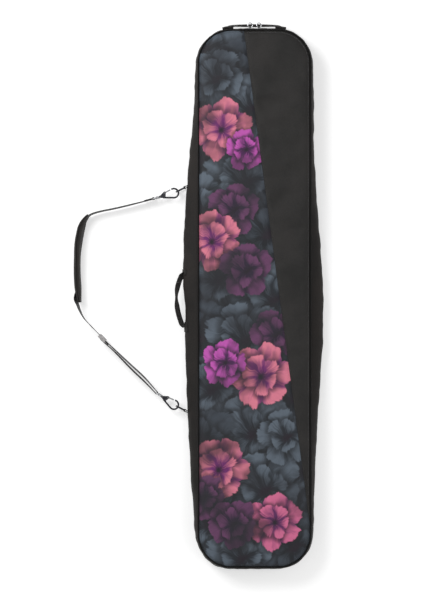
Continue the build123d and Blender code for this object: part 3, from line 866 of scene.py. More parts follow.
# %% Shape of the wall
# ripples of the wall: height, share of z, size and seed
WALL_RIPPLES = ((2.3, 0.5, 46, 2.0), (1.3, 0.35, 19, 6.0))
CORNER_RIPPLES = ((1.1, 0.2, 9, 4.0),)
# places where the wall is drawn in: depth, centre and width
TUCKS = ((3.2, (-142, 768), 62), (1.2, (142, 768), 62))
HANDLE_TUCK, HANDLE_TUCK_Y, HANDLE_TUCK_WIDTH = 4.2, -36, 42
WALL_STEP, CORNER_EASE = 6.0, 60
outlines = {}


def outline_at(share):
    """The outline at a share of the bulge, worked out once."""
    key = round(share, 4)
    if key not in outlines:
        outlines[key] = outline(WALL_STEP, 0.0, key)
    return outlines[key]


ROUND = outline_at(0.0)


def ripples(x, y, z, table):
    return sum(high * wave((x, y, z * share), size, seed) for high, share, size, seed in table)


def wall_point(index, rise, out=0.0):
    """A point of the wall at a share of its height, pushed out by so much."""
    share = 4 * rise * (1 - rise)
    x, y, nx, ny = outline_at(share)[index]
    z = WALL_LOW + rise * (WALL_HIGH - WALL_LOW)
    corner = eased(abs(y) - CORNER_Y + CORNER_EASE, CORNER_EASE)
    ripple = ripples(x, y, z, WALL_RIPPLES) + corner * ripples(x, y, z, CORNER_RIPPLES)
    tuck = sum(deep * bell(math.dist((x, y), centre), width) for deep, centre, width in TUCKS)
    if x < 0:
        tuck += HANDLE_TUCK * bell(y - HANDLE_TUCK_Y, HANDLE_TUCK_WIDTH)
    push = out + ripple * share**0.7 - tuck * share
    return (x + nx * push, y + ny * push, z)


print("points round the wall:", len(ROUND))

# %% [markdown]
# A gusset is cut as four strips, which meet at seams near the corners. One
# strip is easier to cut and sew than a ring, and a repair can change one
# alone. Each is a padded skin of its own, and shares its end points with its
# neighbours, so no gap opens at a seam.

# %% Wall strips
WALL_ROWS, WALL_CLOTH = 13, 4.0
STRIPS = {
    "top": lambda x, y: y >= CORNER_Y,
    "right": lambda x, y: x > 0 and abs(y) <= CORNER_Y,
    "bottom": lambda x, y: y <= -CORNER_Y,
    "left": lambda x, y: x < 0 and abs(y) <= CORNER_Y,
}


def strip_indices(test):
    """The outline points of one strip, in order, and the next one's first."""
    chosen = [i for i, p in enumerate(ROUND) if test(p[0], p[1])]
    start = next(k for k, i in enumerate(chosen) if (i - 1) % len(ROUND) not in chosen)
    chosen = chosen[start:] + chosen[:start]
    after = (chosen[-1] + 1) % len(ROUND)
    return chosen if after in chosen else [*chosen, after]


for name, test in STRIPS.items():
    rows = [
        [wall_point(i, rise) for rise in np.linspace(0, 1, WALL_ROWS)]
        for i in strip_indices(test)
    ]
    gusset = (f"gusset_{name}", f"gusset_foam_{name}")
    wall = skinned(f"wall_{name}", rows, "base", wall_nylon, gusset)
    thickened(wall, WALL_CLOTH, smooth=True)
    print(f"wall_{name}:", len(rows), "rows")

# %% [markdown]
# The back is one plain padded panel that the bag lies on, so it is flat in
# the middle and rounds up to its piping. Its few soft dents show when the bag
# is turned over. It is made as the front is, face down.

# %% Back panel
def back_height(x, y):
    edge = edge_distance(x, y)
    dent = 0.5 + 0.5 * wave((x, y, 0), 70, 21.0)
    return 2.6 * math.exp(-edge / 7) + 0.9 * dent * eased(edge, 20)


BACK_CLOTH = 4.5
ACROSS = clustered(52)
LONG = lengthwise(-PANEL_END, PANEL_END, 2 * CELL)


def across(y, inset=PIPING):
    return side_x(y, inset) * (2 * ACROSS - 1)


rows = [[(x, y, back_height(x, y)) for x in across(y)] for y in reversed(LONG)]
back = skinned(
    "back_cushion", rows, "base", back_nylon, ("back_panel", "back_foam")
)
thickened(back, BACK_CLOTH)
print("back panel:", len(back.data.vertices), "points")

# %% [markdown]
# Piping is a cord in a folded strip, sewn into each seam. It is a section
# carried along the outline, and so are straps, tapes and handles later: the
# section can grow, shrink and tip on its way. The strip's slanted weave is in
# its material, and the tight spots where the needle went through are small
# changes in its radius.

# %% Piping
def frames_along(path, closed=False):
    """Each point of a path with its direction."""
    last = len(path) - 1
    for i, point in enumerate(path):
        before = path[i - 1] if closed or i else path[0]
        after = path[(i + 1) % len(path)] if closed or i < last else path[-1]
        yield point, (after - before).normalized()


def tipped(way, degrees):
    """The ways across and up for a section, once it has tipped over."""
    side = way.cross(UP).normalized()
    tip = Matrix.Rotation(math.radians(degrees), 3, way)
    return tip @ side, tip @ side.cross(way)


def carried(path, section, shape=lambda share, point: (1.0, 1.0, 0.0), closed=False):
    """A section, (across, up) pairs, carried along a path.

    shape gives the section's width and height and its tip in degrees.
    """
    rows = []
    for index, (point, way) in enumerate(frames_along(path, closed)):
        wide, high, lean = shape(index / (len(path) - 1), point)
        side, top = tipped(way, lean)
        rows.append([point + side * a * wide + top * b * high for a, b in section])
    return rows


def round_section(radius, sides):
    turns = [2 * math.pi * i / sides for i in range(sides)]
    return [(radius * math.cos(turn), radius * math.sin(turn)) for turn in turns]


def piping_tube(name, height, body, node_name):
    path = []
    for x, y, nx, ny in outline(3.5):
        wander = 0.35 * wave((x, y, height), 15)
        path.append(Vector((x + nx * wander, y + ny * wander, height)))

    def shape(share, point):
        radius = 0.97 + 0.05 * wave(point, 7)
        return radius, radius, 0.0

    rows = carried(path, round_section(PIPING, 10), shape, closed=True)
    skinned(
        name, rows, body, piping_cloth, (node_name,), close_row=True, close_all=True
    )


piping_tube("piping_front", FRONT_PIPING_Z, "lid", "front_piping")
piping_tube("piping_back", BACK_PIPING_Z, "base", "back_piping")
print("piping:", round(seam_length), "mm in each seam")

# %% [markdown]
# The lining makes a tub: a floor over the back padding and walls inside the
# gusset. It is a thin skin with its own soft folds. The underside of the lid
# has the same lining. Near the floor the padded wall leans far out, so the
# lining keeps further off it there.

# %% Lining
LINING_GAP, LINING_LEAN, LINING_FOOT, LINING_FOLD = 5.2, 4.8, 8.0, 0.8


def tub_point(index, rise):
    x, y, z = wall_point(index, rise, -LINING_GAP - LINING_LEAN * eased(1 - rise, 0.3))
    return x, y, max(z, LINING_FOOT)


rows = [[tub_point(i, rise) for rise in np.linspace(0.99, 0.02, 9)] for i in range(len(ROUND))]
tub = skinned(
    "lining_walls", rows, "base", lining_fabric, ("body_lining",), close_all=True
)
thickened(tub, 0.8, offset=1.0)


def lining_sheet(name, z, way, body, replaced, inset):
    """A lining sheet over the padding; way is the side that shows."""
    rows = []
    for y in LONG[::way] * ((HALF_LENGTH - inset) / HALF_LENGTH):
        row = []
        for x in across(y, inset):
            fold = 0.5 + 0.5 * wave((x, y, z), 60, 31.0)
            fold *= LINING_FOLD * eased(edge_distance(x, y, inset), 15)
            row.append((x, y, z + way * fold))
        rows.append(row)
    made = skinned(name, rows, body, lining_fabric, replaced)
    thickened(made, 0.6, offset=1.0)


lining_sheet("lining_floor", 6.6, 1, "base", (), 7.0)
lining_sheet("lining_lid", 82.9, -1, "lid", ("front_lining",), 3.0)
print("lining round the tub:", len(rows), "rows")

# %% [markdown]
# The zip is a chain of coils on two tapes. The lower tape is sewn to the wall
# and the upper one to the lid, and both stop where the fabric hinge starts on
# the straight right side. The tapes are flat bands that stand on their edge
# along the seam, with the chain between them.

# %% Zip tapes
TAPE_LOW, TAPE_SHOW, TAPE_THICK, COIL = 62.0, 8.5, 1.1, 2.6
CHAIN_LOW, CHAIN_HIGH = TAPE_LOW + TAPE_SHOW, 74.5
LID_TAPE = CHAIN_HIGH + COIL
TAPE_INSET = 0.9
HINGE_END = CORNER_Y


def tape_section(width, thickness, cuts=8):
    """A flat strap seen end on, standing on its edge, with soft edges."""
    half, low = width / 2, -width / 2 + thickness / 3
    step = (width - thickness * 2 / 3) / cuts
    side = [(thickness / 2, low + step * i) for i in range(cuts + 1)]
    other = [(-a, b) for a, b in reversed(side)]
    edge = thickness / 5
    return [*side, (edge, half), (-edge, half), *other, (-edge, -half), (edge, -half)]


def tube(name, rows, body, material, replaces):
    """A skin that closes round its section and at both ends."""
    return skinned(name, rows, body, material, replaces, close_row=True, caps=True)


def zip_path(height, step):
    """The seam from one end of the hinge round to the other, the long way."""
    path = outline(step, TAPE_INSET)
    start = next(i for i, p in enumerate(path) if p[0] > 0 and p[1] <= -HINGE_END)
    stop = next(i for i, p in enumerate(path) if p[0] > 0 and 0 < p[1] <= HINGE_END)
    return [Vector((x, y, height)) for x, y, _, _ in path[start:] + path[:stop + 1]]


def zip_tape(name, low, body, replaced):
    section = tape_section(TAPE_SHOW, TAPE_THICK, 4)
    rows = carried(zip_path(low + TAPE_SHOW / 2, 5.0), section)
    tube(name, rows, body, zip_cloth, (replaced,))


zip_tape("zip_tape_low", TAPE_LOW, "base", "zip_tape_base")
zip_tape("zip_tape_up", LID_TAPE, "lid", "zip_tape_lid")
print("zip tapes:", len(zip_path(TAPE_LOW, 5.0)), "points along each")

# %% [markdown]
# Each turn of the zip's coil is a small bead of plastic with a nose that
# catches the beads of the other half. A curve with a bevel could draw the
# coil, but its turns would melt together. Here one bead is written out as
# four rings, and copied along the seam as one mesh.

# %% Zip chains
BEAD_PITCH, BEAD_DEEP = 3.0, 1.55
# a bead's section, and its width and depth at levels from its foot to its nose
BEAD = (
    (-1.0, -0.5), (-0.5, -1.0), (0.5, -1.0), (1.0, -0.5),
    (1.0, 0.5), (0.5, 1.0), (-0.5, 1.0), (-1.0, 0.5),
)
BEAD_LEVELS = ((-1.0, 0.55, 0.9), (-0.35, 1.0, 1.0), (0.5, 0.95, 1.0), (1.0, 0.5, 0.8))


def evenly(path, pitch):
    """Points every pitch along a path, with the way it runs there."""
    left = pitch / 2
    for a, b in zip(path, path[1:]):
        run = (b - a).length
        while left < run:
            yield a.lerp(b, left / run), (b - a) / run
            left += pitch
        left -= run


def ringed(base, rings, sides, way=1):
    """Faces round a closed shape of several rings, and over both of its ends."""
    faces = []
    for ring in range(rings - 1):
        for side in range(sides):
            a, b = (base + ring * sides + s % sides for s in (side, side + 1))
            faces.append((a, b, b + sides, a + sides)[::way])
    first, last = (range(base + start, base + start + sides) for start in (0, (rings - 1) * sides))
    return [*faces, tuple(first)[::-way], tuple(last)[::way]]


def zip_chain(name, low, nose, body, replaced):
    """Beads across the coil; nose is up or down, towards the other half."""
    points, faces = [], []
    for middle, way in evenly(zip_path(low + COIL / 2, 6.0), BEAD_PITCH):
        side = way.cross(UP).normalized() * BEAD_DEEP
        along = way * (BEAD_PITCH * 0.42)
        faces += ringed(len(points), len(BEAD_LEVELS), len(BEAD), nose)
        for level, wide, deep in BEAD_LEVELS:
            centre = middle + UP * (nose * level * COIL / 2)
            points += [centre + along * (a * wide) + side * (b * deep) for a, b in BEAD]
    piece(name, points, faces, body, chain_plastic, (replaced,))
    print(name, len(points) // (len(BEAD) * len(BEAD_LEVELS)), "beads")


zip_chain("zip_beads_low", CHAIN_LOW, 1, "base", "zip_chain_base")
zip_chain("zip_beads_up", CHAIN_HIGH, -1, "lid", "zip_chain_lid")

# %% [markdown]
# Along the right side a strip of the wall's fabric joins the lid to the wall.
# It is the hinge: the lid's piping turns in place above it, so the strip
# itself stays with the wall. It has the small ripples of a strip sewn down on
# both long edges.

# %% Fabric hinge
HINGE_TOP = FRONT_PIPING_Z - PIPING - 0.3
HINGE_SWELL = 0.9


def hinge_point(y, rise):
    z = TAPE_LOW + rise * (HINGE_TOP - TAPE_LOW)
    push = HINGE_SWELL * 4 * rise * (1 - rise) * (1 + wave((0, y, z * 0.5), 24, 9.0))
    return HALF_WIDTH - 0.2 + push, y, z


rows = [
    [hinge_point(y, rise) for rise in np.linspace(0, 1, 9)]
    for y in np.linspace(HINGE_END, -HINGE_END, 240)
]
hinge = skinned("hinge_cloth", rows, "base", wall_nylon, ("hinge_strip",))
thickened(hinge, 1.4)
print("hinge strip:", round(HINGE_TOP - TAPE_LOW, 1), "mm high")

# %% [markdown]
# Stitches make cloth read as cloth. Each one is a tiny spindle that dips into
# the fabric at both ends. All the stitches of a seam are one mesh, because
# thousands of separate objects would make the file slow.

# %% Stitches
# each ring of a spindle: share of its half length, share of its radius, lift
STITCH_RINGS = (
    (-1.0, 0.15, -0.9), (-0.6, 0.85, 0.0), (0.0, 1.0, 0.25), (0.6, 0.85, 0.0), (1.0, 0.15, -0.9)
)
STITCH_SIDES = 6
STITCH_SHARE = 0.36


def stitched(name, paths, body, material, facing, pitch, radius):
    """Rows of stitches along paths; facing is the way out of the cloth."""
    points, faces = [], []
    for path in paths:
        for middle, way in evenly([Vector(p) for p in path], pitch):
            out = facing(middle) if callable(facing) else Vector(facing)
            side = way.cross(out).normalized()
            out = side.cross(way).normalized()
            faces += ringed(len(points), len(STITCH_RINGS), STITCH_SIDES, -1)
            for run, wide, lift in STITCH_RINGS:
                centre = middle + way * (run * pitch * STITCH_SHARE)
                centre += out * (radius * (0.4 + lift))
                for a, b in round_section(radius * wide, STITCH_SIDES):
                    points.append(centre + side * a + out * b)
    return piece(name, points, faces, body, material)


print("one stitch has", len(STITCH_RINGS) * STITCH_SIDES, "points")

# %% [markdown]
# The rings hang in folded webbing tabs. A tab is one tape: it comes out of
# the wall's seam, goes round the ring's bar and back into the wall. Modelling
# the fold as a path, and carrying the tape's section along it, gives a real
# loop with its open gap, where a solid block would hide the bar.

# %% Ring tabs
STRAP_Z = 27.0
WEBBING, WEBBING_THICK = 38.0, 1.8
RING_BARS = {
    "upper": (Vector((-206.052, 328.712, STRAP_Z)), 27.0),
    "lower": (Vector((-206.052, -330.712, STRAP_Z)), -27.0),
}
TAB_WIDTH, TAB_FOLD, TAB_LENGTH = 28.0, 3.2, 24
THREAD_PITCH, THREAD_RADIUS = 2.6, 0.35


def turned(angle):
    return Vector((math.cos(math.radians(angle)), math.sin(math.radians(angle)), 0))


def loop_round(centre, radius, start, steps=10):
    """Half a turn round a centre, clockwise, at the centre's height."""
    return [centre + radius * turned(start - 180 * i / steps) for i in range(steps + 1)]


def respaced(points, step):
    """The same line with a point about every step."""
    lengths = [0.0]
    for a, b in zip(points, points[1:]):
        lengths.append(lengths[-1] + (b - a).length)
    count = max(2, round(lengths[-1] / step))
    line, i = [], 0
    for k in range(count + 1):
        want = lengths[-1] * k / count
        while i < len(points) - 2 and lengths[i + 1] < want:
            i += 1
        run = lengths[i + 1] - lengths[i]
        line.append(points[i].lerp(points[i + 1], (want - lengths[i]) / run if run else 0.0))
    return line


for label, (bar, lean) in RING_BARS.items():
    inward = turned(lean)
    side = inward.cross(UP)
    seam_end, fold_end = bar + inward * TAB_LENGTH, bar + inward * 7
    fold = loop_round(bar, TAB_FOLD, lean - 90, 12)
    path = [seam_end + side * 1.4, fold_end + side * 1.9, *fold]
    path += [fold_end - side * 1.9, seam_end - side * 1.4]
    rows = carried(respaced(path, 1.2), tape_section(TAB_WIDTH, WEBBING_THICK, 6))
    tube(f"tab_{label}", rows, "base", strap_tape, (f"ring_tab_{label}",))
    for number, way in enumerate((-1, 1)):
        row = [bar + inward * 6.2 + way * side * 2.6 + UP * z for z in (-12, 12)]
        stitched(
            f"tab_thread_{label}_{number}", [row], "base", dark_thread, side * way,
            THREAD_PITCH, THREAD_RADIUS,
        )
print("tabs folded round", len(RING_BARS), "rings")

# %% [markdown]
# The shoulder strap is one length of webbing. It starts as a sewn loop in the
# upper eye, runs through the pad and the adjuster, turns round the lower eye
# and comes back to the adjuster's middle bar. It stands on its edge, and tips
# a little where nothing holds it, as a strap does when a bag is laid down.

# %% Route of the strap
UPPER_EYE, UPPER_ANGLE = Vector((-297.139, 296.535, STRAP_Z)), 15.0
LOWER_EYE, LOWER_ANGLE = Vector((-288.489, -279.772, STRAP_Z)), -34.5
GLIDE, GLIDE_ANGLE = Vector((-449.4, -116.4, STRAP_Z)), -45.0
EYE_FOLD, BAR_FOLD = 3.2, 2.6
SEWN_LENGTH, TAIL_LENGTH = 30, 26
STRAP_ROUTE = (
    (-405, 268), (-468, 256), (-493, 245), (-509, 221), (-516.5, 187), (-521.5, 143),
    (-523, 84), (-523, 25), (-528, 11), (-530.5, -2), (-523, -17), (-518.5, -32),
    (-505, -59), (-484, -81), (-449.4, -116.4), (-426, -139.5), (-368, -194), (-326, -231.5),
)
RETURN_ROUTE = ((-323.3, -247), (-363, -210.5), (-412, -158.5))
# how far the strap tips, in degrees, at millimetres along it
STRAP_LEANS = (
    (0, 0), (45, 0), (110, 3), (200, 4), (260, 5), (300, 12), (500, 12), (545, 3), (590, -4),
    (632, 0), (650, 0), (710, 3), (800, 3), (855, 0), (885, 0), (940, -3), (1020, -3),
    (1075, 0), (2000, 0),
)
print("strap from", list(STRAP_ROUTE[0]), "to", list(STRAP_ROUTE[-1]))

# %% [markdown]
# The route's corners are cut off again and again, which leaves a smooth line.
# The folds round the two eyes and the adjuster's bar are joined in, and the
# band is carried along the whole path in one piece, as real webbing is.

# %% Strap webbing
def softened(points, rounds=3):
    """Cuts each corner off, again and again, which leaves a smooth line."""
    points = [Vector(p) for p in points]
    for _ in range(rounds):
        cut = [points[0]]
        for a, b in zip(points, points[1:]):
            cut += [a.lerp(b, 0.25), a.lerp(b, 0.75)]
        points = [*cut, points[-1]]
    return points


def raised(places):
    return [Vector((x, y, STRAP_Z)) for x, y in places]


upper_way, glide_way = turned(UPPER_ANGLE), turned(GLIDE_ANGLE)
upper_out, glide_out = UP.cross(upper_way), UP.cross(glide_way)
middle_bar = GLIDE - 4.7 * glide_out
sewn_end, sewn_start = UPPER_EYE - SEWN_LENGTH * upper_way, UPPER_EYE - 8 * upper_way
fold_side = upper_out * 0.95
first_fold = [sewn_end + fold_side, sewn_start + fold_side]
first_fold += loop_round(UPPER_EYE, EYE_FOLD, UPPER_ANGLE + 90)
lower_fold = loop_round(LOWER_EYE, EYE_FOLD, LOWER_ANGLE + 90)
bar_fold = loop_round(middle_bar, BAR_FOLD, GLIDE_ANGLE - 90)
tail_end = middle_bar + TAIL_LENGTH * glide_way + 2.1 * glide_out
main_run = softened(
    [sewn_start - fold_side, sewn_end - fold_side, *raised(STRAP_ROUTE), lower_fold[0]]
)
return_run = softened([lower_fold[-1], *raised(RETURN_ROUTE), bar_fold[0]])
strap_path = respaced(
    [*first_fold, *main_run, *lower_fold[1:], *return_run[1:], *bar_fold[1:], tail_end], 3.0
)
strap_length = sum((b - a).length for a, b in zip(strap_path, strap_path[1:]))


def strap_shape(share, point):
    """Upright at both eyes and at the adjuster, tipped in between."""
    return 1.0, 1.0, float(np.interp(share * strap_length, *zip(*STRAP_LEANS)))


rows = carried(strap_path, tape_section(WEBBING, WEBBING_THICK), strap_shape)
tube("strap_band", rows, "strap", strap_tape, ("strap_webbing",))
print("strap webbing:", round(strap_length), "mm long")

# %% [markdown]
# The strap's upper end is folded back and sewn down. A sewn box with a cross
# in it spreads the load over the whole width, and it shows on both faces.

# %% Sewn box on the strap
BOX_LENGTH, BOX_WIDTH, BOX_MIDDLE = 18, 30, 19


def box_stitch(centre, way, length, width):
    """The paths of a sewn box with its cross."""
    a, b = way * length / 2, UP * width / 2
    c = [centre - a - b, centre + a - b, centre + a + b, centre - a + b]
    return [*zip(c, c[1:] + c[:1]), (c[0], c[2]), (c[1], c[3])]


for number, way in enumerate((1, -1)):
    centre = UPPER_EYE - BOX_MIDDLE * upper_way + way * upper_out * 1.95
    paths = box_stitch(centre, upper_way, BOX_LENGTH, BOX_WIDTH)
    stitched(
        f"strap_thread_{number}", paths, "strap", dark_thread, upper_out * way,
        2.8, THREAD_RADIUS,
    )
print("sewn box:", BOX_LENGTH, "by", BOX_WIDTH, "mm")

# %% [markdown]
# The shoulder pad is a foam core in a knitted cover. Its shape starts as a
# slim loaf that follows the strap: a rounded section carried along a smooth
# line, thinner and lower at both ends, and leaning where the strap leans.

# %% Loaf of the shoulder pad
# places on the pad's middle line, its half thickness and its lean there
PAD_ROUTE = (
    (-490, 247, 3.2, 4), (-507, 222, 6.4, 13), (-517, 187, 7.2, 11), (-523, 143, 6.8, 5),
    (-524.5, 84, 6.8, 6), (-521.5, 30, 7.0, 8), (-515.5, -11, 4.4, 4),
)
PAD_WIDTH, PAD_SIDES = 54.0, 28


def spline(points, step):
    """A smooth line through points, with about one point every step."""
    points = [Vector(p) for p in points]
    ends = [2 * points[0] - points[1], *points, 2 * points[-1] - points[-2]]
    line = []
    for a, b, c, d in zip(ends, ends[1:], ends[2:], ends[3:]):
        count = max(2, round((c - b).length / step))
        for i in range(count):
            t = i / count
            bend = (2 * a - 5 * b + 4 * c - d) * t**2 + (3 * b - a - 3 * c + d) * t**3
            line.append(0.5 * (2 * b + (c - a) * t + bend))
    line.append(points[-1])
    return line


def pad_shape(share, point):
    knots = np.linspace(0, 1, len(PAD_ROUTE))
    _, _, halves, leans = zip(*PAD_ROUTE)
    end = eased(min(share, 1 - share), 0.1)
    width = PAD_WIDTH / 2 * (0.80 + 0.20 * math.sin(end * math.pi / 2))
    return np.interp(share, knots, halves), width - 1.0, np.interp(share, knots, leans)


def powered(value, power):
    return math.copysign(abs(value) ** power, value)


pad_line = spline([(x, y, STRAP_Z) for x, y, _, _ in PAD_ROUTE], 5.0)
loaf = [(powered(a, 0.8), powered(b, 0.55)) for a, b in round_section(1.0, PAD_SIDES)]
pad_rows = carried(pad_line, loaf, pad_shape)
print("rows along the pad:", len(pad_rows))

# %% [markdown]
# A cloth simulation then blows the loaf up gently, which rounds its faces and
# pulls small creases into its ends. Sculpting could do that too, but cloth
# under pressure finds the shape of stuffed fabric by itself. A cap on how far
# a point may move keeps the pad inside its room.

# %% Cloth on the shoulder pad
VOXEL, PRESSURE, SWELL_CAP = 4.0, 3.0, 2.0
CLOTH_FRAMES = 20


def corners_of(obj):
    return np.array([v.co for v in obj.data.vertices])


def simulated(obj):
    """Swells a closed piece as cloth, and moves no point further than a cap."""
    remesh = obj.modifiers.new("remesh", "REMESH")
    remesh.mode, remesh.voxel_size = "VOXEL", VOXEL * MM
    applied(obj)
    start = corners_of(obj)
    cloth = obj.modifiers.new("cloth", "CLOTH")
    cloth.settings.use_pressure = True
    cloth.settings.uniform_pressure_force = PRESSURE
    cloth.settings.effector_weights.gravity = 0.0
    cloth.settings.shrink_min = -0.02
    cloth.point_cache.frame_start, cloth.point_cache.frame_end = 1, CLOTH_FRAMES
    for step in range(1, CLOTH_FRAMES + 1):
        scene.frame_set(step)
    applied(obj)
    scene.frame_set(1)
    move = corners_of(obj) - start
    far = np.linalg.norm(move, axis=1, keepdims=True)
    move *= np.minimum(1.0, SWELL_CAP * MM / np.maximum(far, 1e-9))
    obj.data.vertices.foreach_set("co", (start + move).ravel())
    smoothed(obj)
    applied(obj)


pad = tube("pad_cushion", pad_rows, "strap", pad_fabric, ("shoulder_pad",))
simulated(pad)
print("shoulder pad:", len(pad.data.vertices), "points")

# %% [markdown]
# A narrow tape binds both long edges of the pad. It is a thin tube along the
# loaf's top and bottom corners, and it is lifted where it would otherwise dip
# into the floor.

# %% Binding of the shoulder pad
BINDING_RADIUS, BINDING_LOW = 1.5, 1.6
for number, corner in enumerate((PAD_SIDES // 4, PAD_SIDES * 3 // 4)):
    line = []
    for row in pad_rows:
        middle = sum(row, Vector()) / len(row)
        line.append(row[corner] + (row[corner] - middle).normalized() * 0.4)
    line = respaced(line, 3.0)
    for point in line:
        point.z = max(point.z, BINDING_LOW)
    rows = carried(line, round_section(BINDING_RADIUS, 8))
    tube(f"pad_binding_{number}", rows, "strap", piping_cloth, ())
    print(f"binding {number}:", len(rows), "rows")

# %% [markdown]
# The carry handles are webbing folded double. The stiff middle, the grip,
# swings on its own, and the soft legs run between the wall and the grip. Each
# leg is a piece of its own, which rides no body. The grip is pinched narrower,
# as it is folded once more and sewn.

# %% Line of a handle
HANDLE_WIDTH, HANDLE_THICK, GRIP_SHARE = 25.0, 3.4, 0.62
HANDLE_Z = 34.5
PINCH, END_SHARE = 0.5, 0.12


def handle_line(root, along, out, half_span, bow, lean, square, skew, spread, roll):
    """The place and the section of a handle, as two functions.

    out is the way that it bows, square how flat its top is, and skew how far
    its highest place has slipped along it. spread is how much of it is pinched
    in, and roll how much thicker it gets there.
    """

    def place(u):
        share = u / half_span - skew
        share /= (1 - skew) if share > 0 else (1 + skew)
        return root + along * u + out * bow * (1 - min(1.0, abs(share)) ** square)

    def shape(_, point):
        share = (point - root).dot(along) / half_span
        folded = PINCH * bell(share - skew, spread)
        flat_end = eased(1 - abs(share), END_SHARE)
        return 1.0 + roll * folded / PINCH, 1.0 - folded, lean * flat_end * (1.0 - folded)

    return place, shape


SIDE_WAYS = Vector((-210, -4, HANDLE_Z)), Vector((0, 1, 0)), Vector((-1, 0, 0))
TOP_WAYS = Vector((0, 800, HANDLE_Z)), Vector((1, 0, 0)), Vector((0, 1, 0))
SIDE_SPAN, TOP_SPAN = 82.0, 86.0
side_line = handle_line(
    *SIDE_WAYS, SIDE_SPAN, bow=20.5, lean=-33.0, square=2.0, skew=0.1, spread=0.2, roll=0.5
)
top_line = handle_line(
    *TOP_WAYS, TOP_SPAN, bow=7.5, lean=12.0, square=8.0, skew=0.0, spread=0.5, roll=1.5
)
middles = side_line[0](0), top_line[0](0)
print("middles of the grips:", [[round(v) for v in middle] for middle in middles])

# %% [markdown]
# Each handle is cut in three along its line. The grip rides its own body,
# which swings. A leg is sewn to the wall at one end and to the grip at the
# other; here it is a piece of its own, which rides no body.

# %% Legs and grip of a handle
def handle_bands(name, place, shape, body, half_span):
    grip_half = GRIP_SHARE * half_span
    for label, start, end in (
        ("leg_low", -half_span, -grip_half),
        ("grip", -grip_half, grip_half),
        ("leg_high", half_span, grip_half),
    ):
        cuts = max(8, round(abs(end - start) / 3))
        path = [place(u) for u in np.linspace(min(start, end), max(start, end), cuts)]
        rows = carried(path, tape_section(HANDLE_WIDTH, HANDLE_THICK, 6), shape)
        rider, part = (body, "grip") if label == "grip" else (None, "legs")
        made = tube(
            f"{name}_{label}_band", rows, rider, handle_tape, (f"{name}_{part}",)
        )
        if not rider:
            start, end = (tuple(place(u) * MM) for u in (start, end))
            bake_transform(made)
            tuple(start)
            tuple(end)


print("the grip takes", GRIP_SHARE, "of a handle")

# %% [markdown]
# A row of stitches runs along each edge of a grip, on both of its faces. The
# rows follow the same two functions as the webbing, so they bend and tip with
# it.

# %% Both carry handles
THREAD_INSET = 3.5
GRIPS = (
    ("side_handle", side_line, "side_grip", SIDE_SPAN, SIDE_WAYS),
    ("top_handle", top_line, "top_grip", TOP_SPAN, TOP_WAYS),
)


def handle_stitches(name, place, shape, body, half_span, facing):
    reach = GRIP_SHARE * half_span - 2
    for number, (level, way) in enumerate(((-1, -1), (-1, 1), (1, -1), (1, 1))):
        row = []
        for u in np.linspace(-reach, reach, 30):
            point, ahead = place(u), (place(u + 0.5) - place(u - 0.5)).normalized()
            wide, high, tip = shape(u, point)
            side, top = tipped(ahead, tip)
            row.append(
                point + side * way * wide * HANDLE_THICK / 2
                + top * level * high * (HANDLE_WIDTH / 2 - THREAD_INSET)
            )
        stitched(
            f"{name}_thread_{number}", [row], body, dark_thread, facing * way,
            3.4, THREAD_RADIUS,
        )


for name, line, body, half_span, (_, along, out) in GRIPS:
    handle_bands(name, *line, body, half_span)
    facing = out if along.cross(UP).dot(out) > 0 else -out
    handle_stitches(name, *line, body, half_span, facing)
    print(name, "grip:", round(2 * GRIP_SHARE * half_span), "mm long")

# %% [markdown]
# Where a handle meets the wall, a patch of the same webbing spreads the pull.
# It lies on the wall, so its points are the wall's own, pushed out a little.

# %% Handle patches
PATCH_WIDTH = 27.0
PATCH_RISES = (np.linspace(-PATCH_WIDTH / 2, PATCH_WIDTH / 2, 7) / (WALL_HIGH - WALL_LOW)) + 0.5
PATCH_LIFT = 0.2


def wall_patch(name, on_side, centre, replaced, length, thick):
    """A patch over the wall's points that lie within its length of centre."""
    half = len(ROUND) // 2
    near = [
        i for i, p in enumerate(ROUND) if on_side(*p[:2]) and math.dist(p[:2], centre) < length / 2
    ]
    if near[0] == 0:  # a patch across the outline's first point
        near.sort(key=lambda i: (i <= half, i))
    rows = [[wall_point(i, rise, PATCH_LIFT) for rise in PATCH_RISES] for i in near]
    made = skinned(name, rows, "base", handle_tape, (replaced,))
    thickened(made, thick, offset=1.0)


for label, y in (("low", -86.0), ("high", 78.0)):
    centre = (-HALF_WIDTH - swell_at(y, LEFT_SWELL), y)
    wall_patch(f"side_patch_{label}", STRIPS["left"], centre, "side_handle_patches", 74.0, 1.4)
for label, x in (("low", -75.0), ("high", 75.0)):
    centre = (x, HALF_LENGTH)
    wall_patch(f"top_patch_{label}", STRIPS["top"], centre, "top_handle_patches", 36.0, 7.0)
print("patches under both handles")

# %% [markdown]
# A line of stitches runs inside the piping on the front and the back, and
# along the slanting seam, where it holds the edge of the plain fabric down.
# The rows follow the surface, so their height is read from the same function
# that shaped the panel.

# %% Seam stitching
SEAM_ROW = 8.5
SEAM_PITCH, BACK_PITCH, SEAM_THREAD = 4.5, 5.0, 0.4


def face_normal(point):
    x, y, _ = point
    dx = face_height(x + 1, y) - face_height(x - 1, y)
    dy = face_height(x, y + 1) - face_height(x, y - 1)
    return Vector((-dx / 2, -dy / 2, 1)).normalized()


def unbroken(row):
    """A closed row of points, started where its one long gap ends."""
    start = max(range(len(row)), key=lambda i: math.dist(row[i - 1], row[i]))
    return row[start:] + row[:start]


def face_seam(name, row, yarn):
    path = [Vector((x, y, LID_Z + face_height(x, y) + 0.2)) for x, y in row]
    stitched(name, [path], "lid", yarn, face_normal, SEAM_PITCH, SEAM_THREAD)


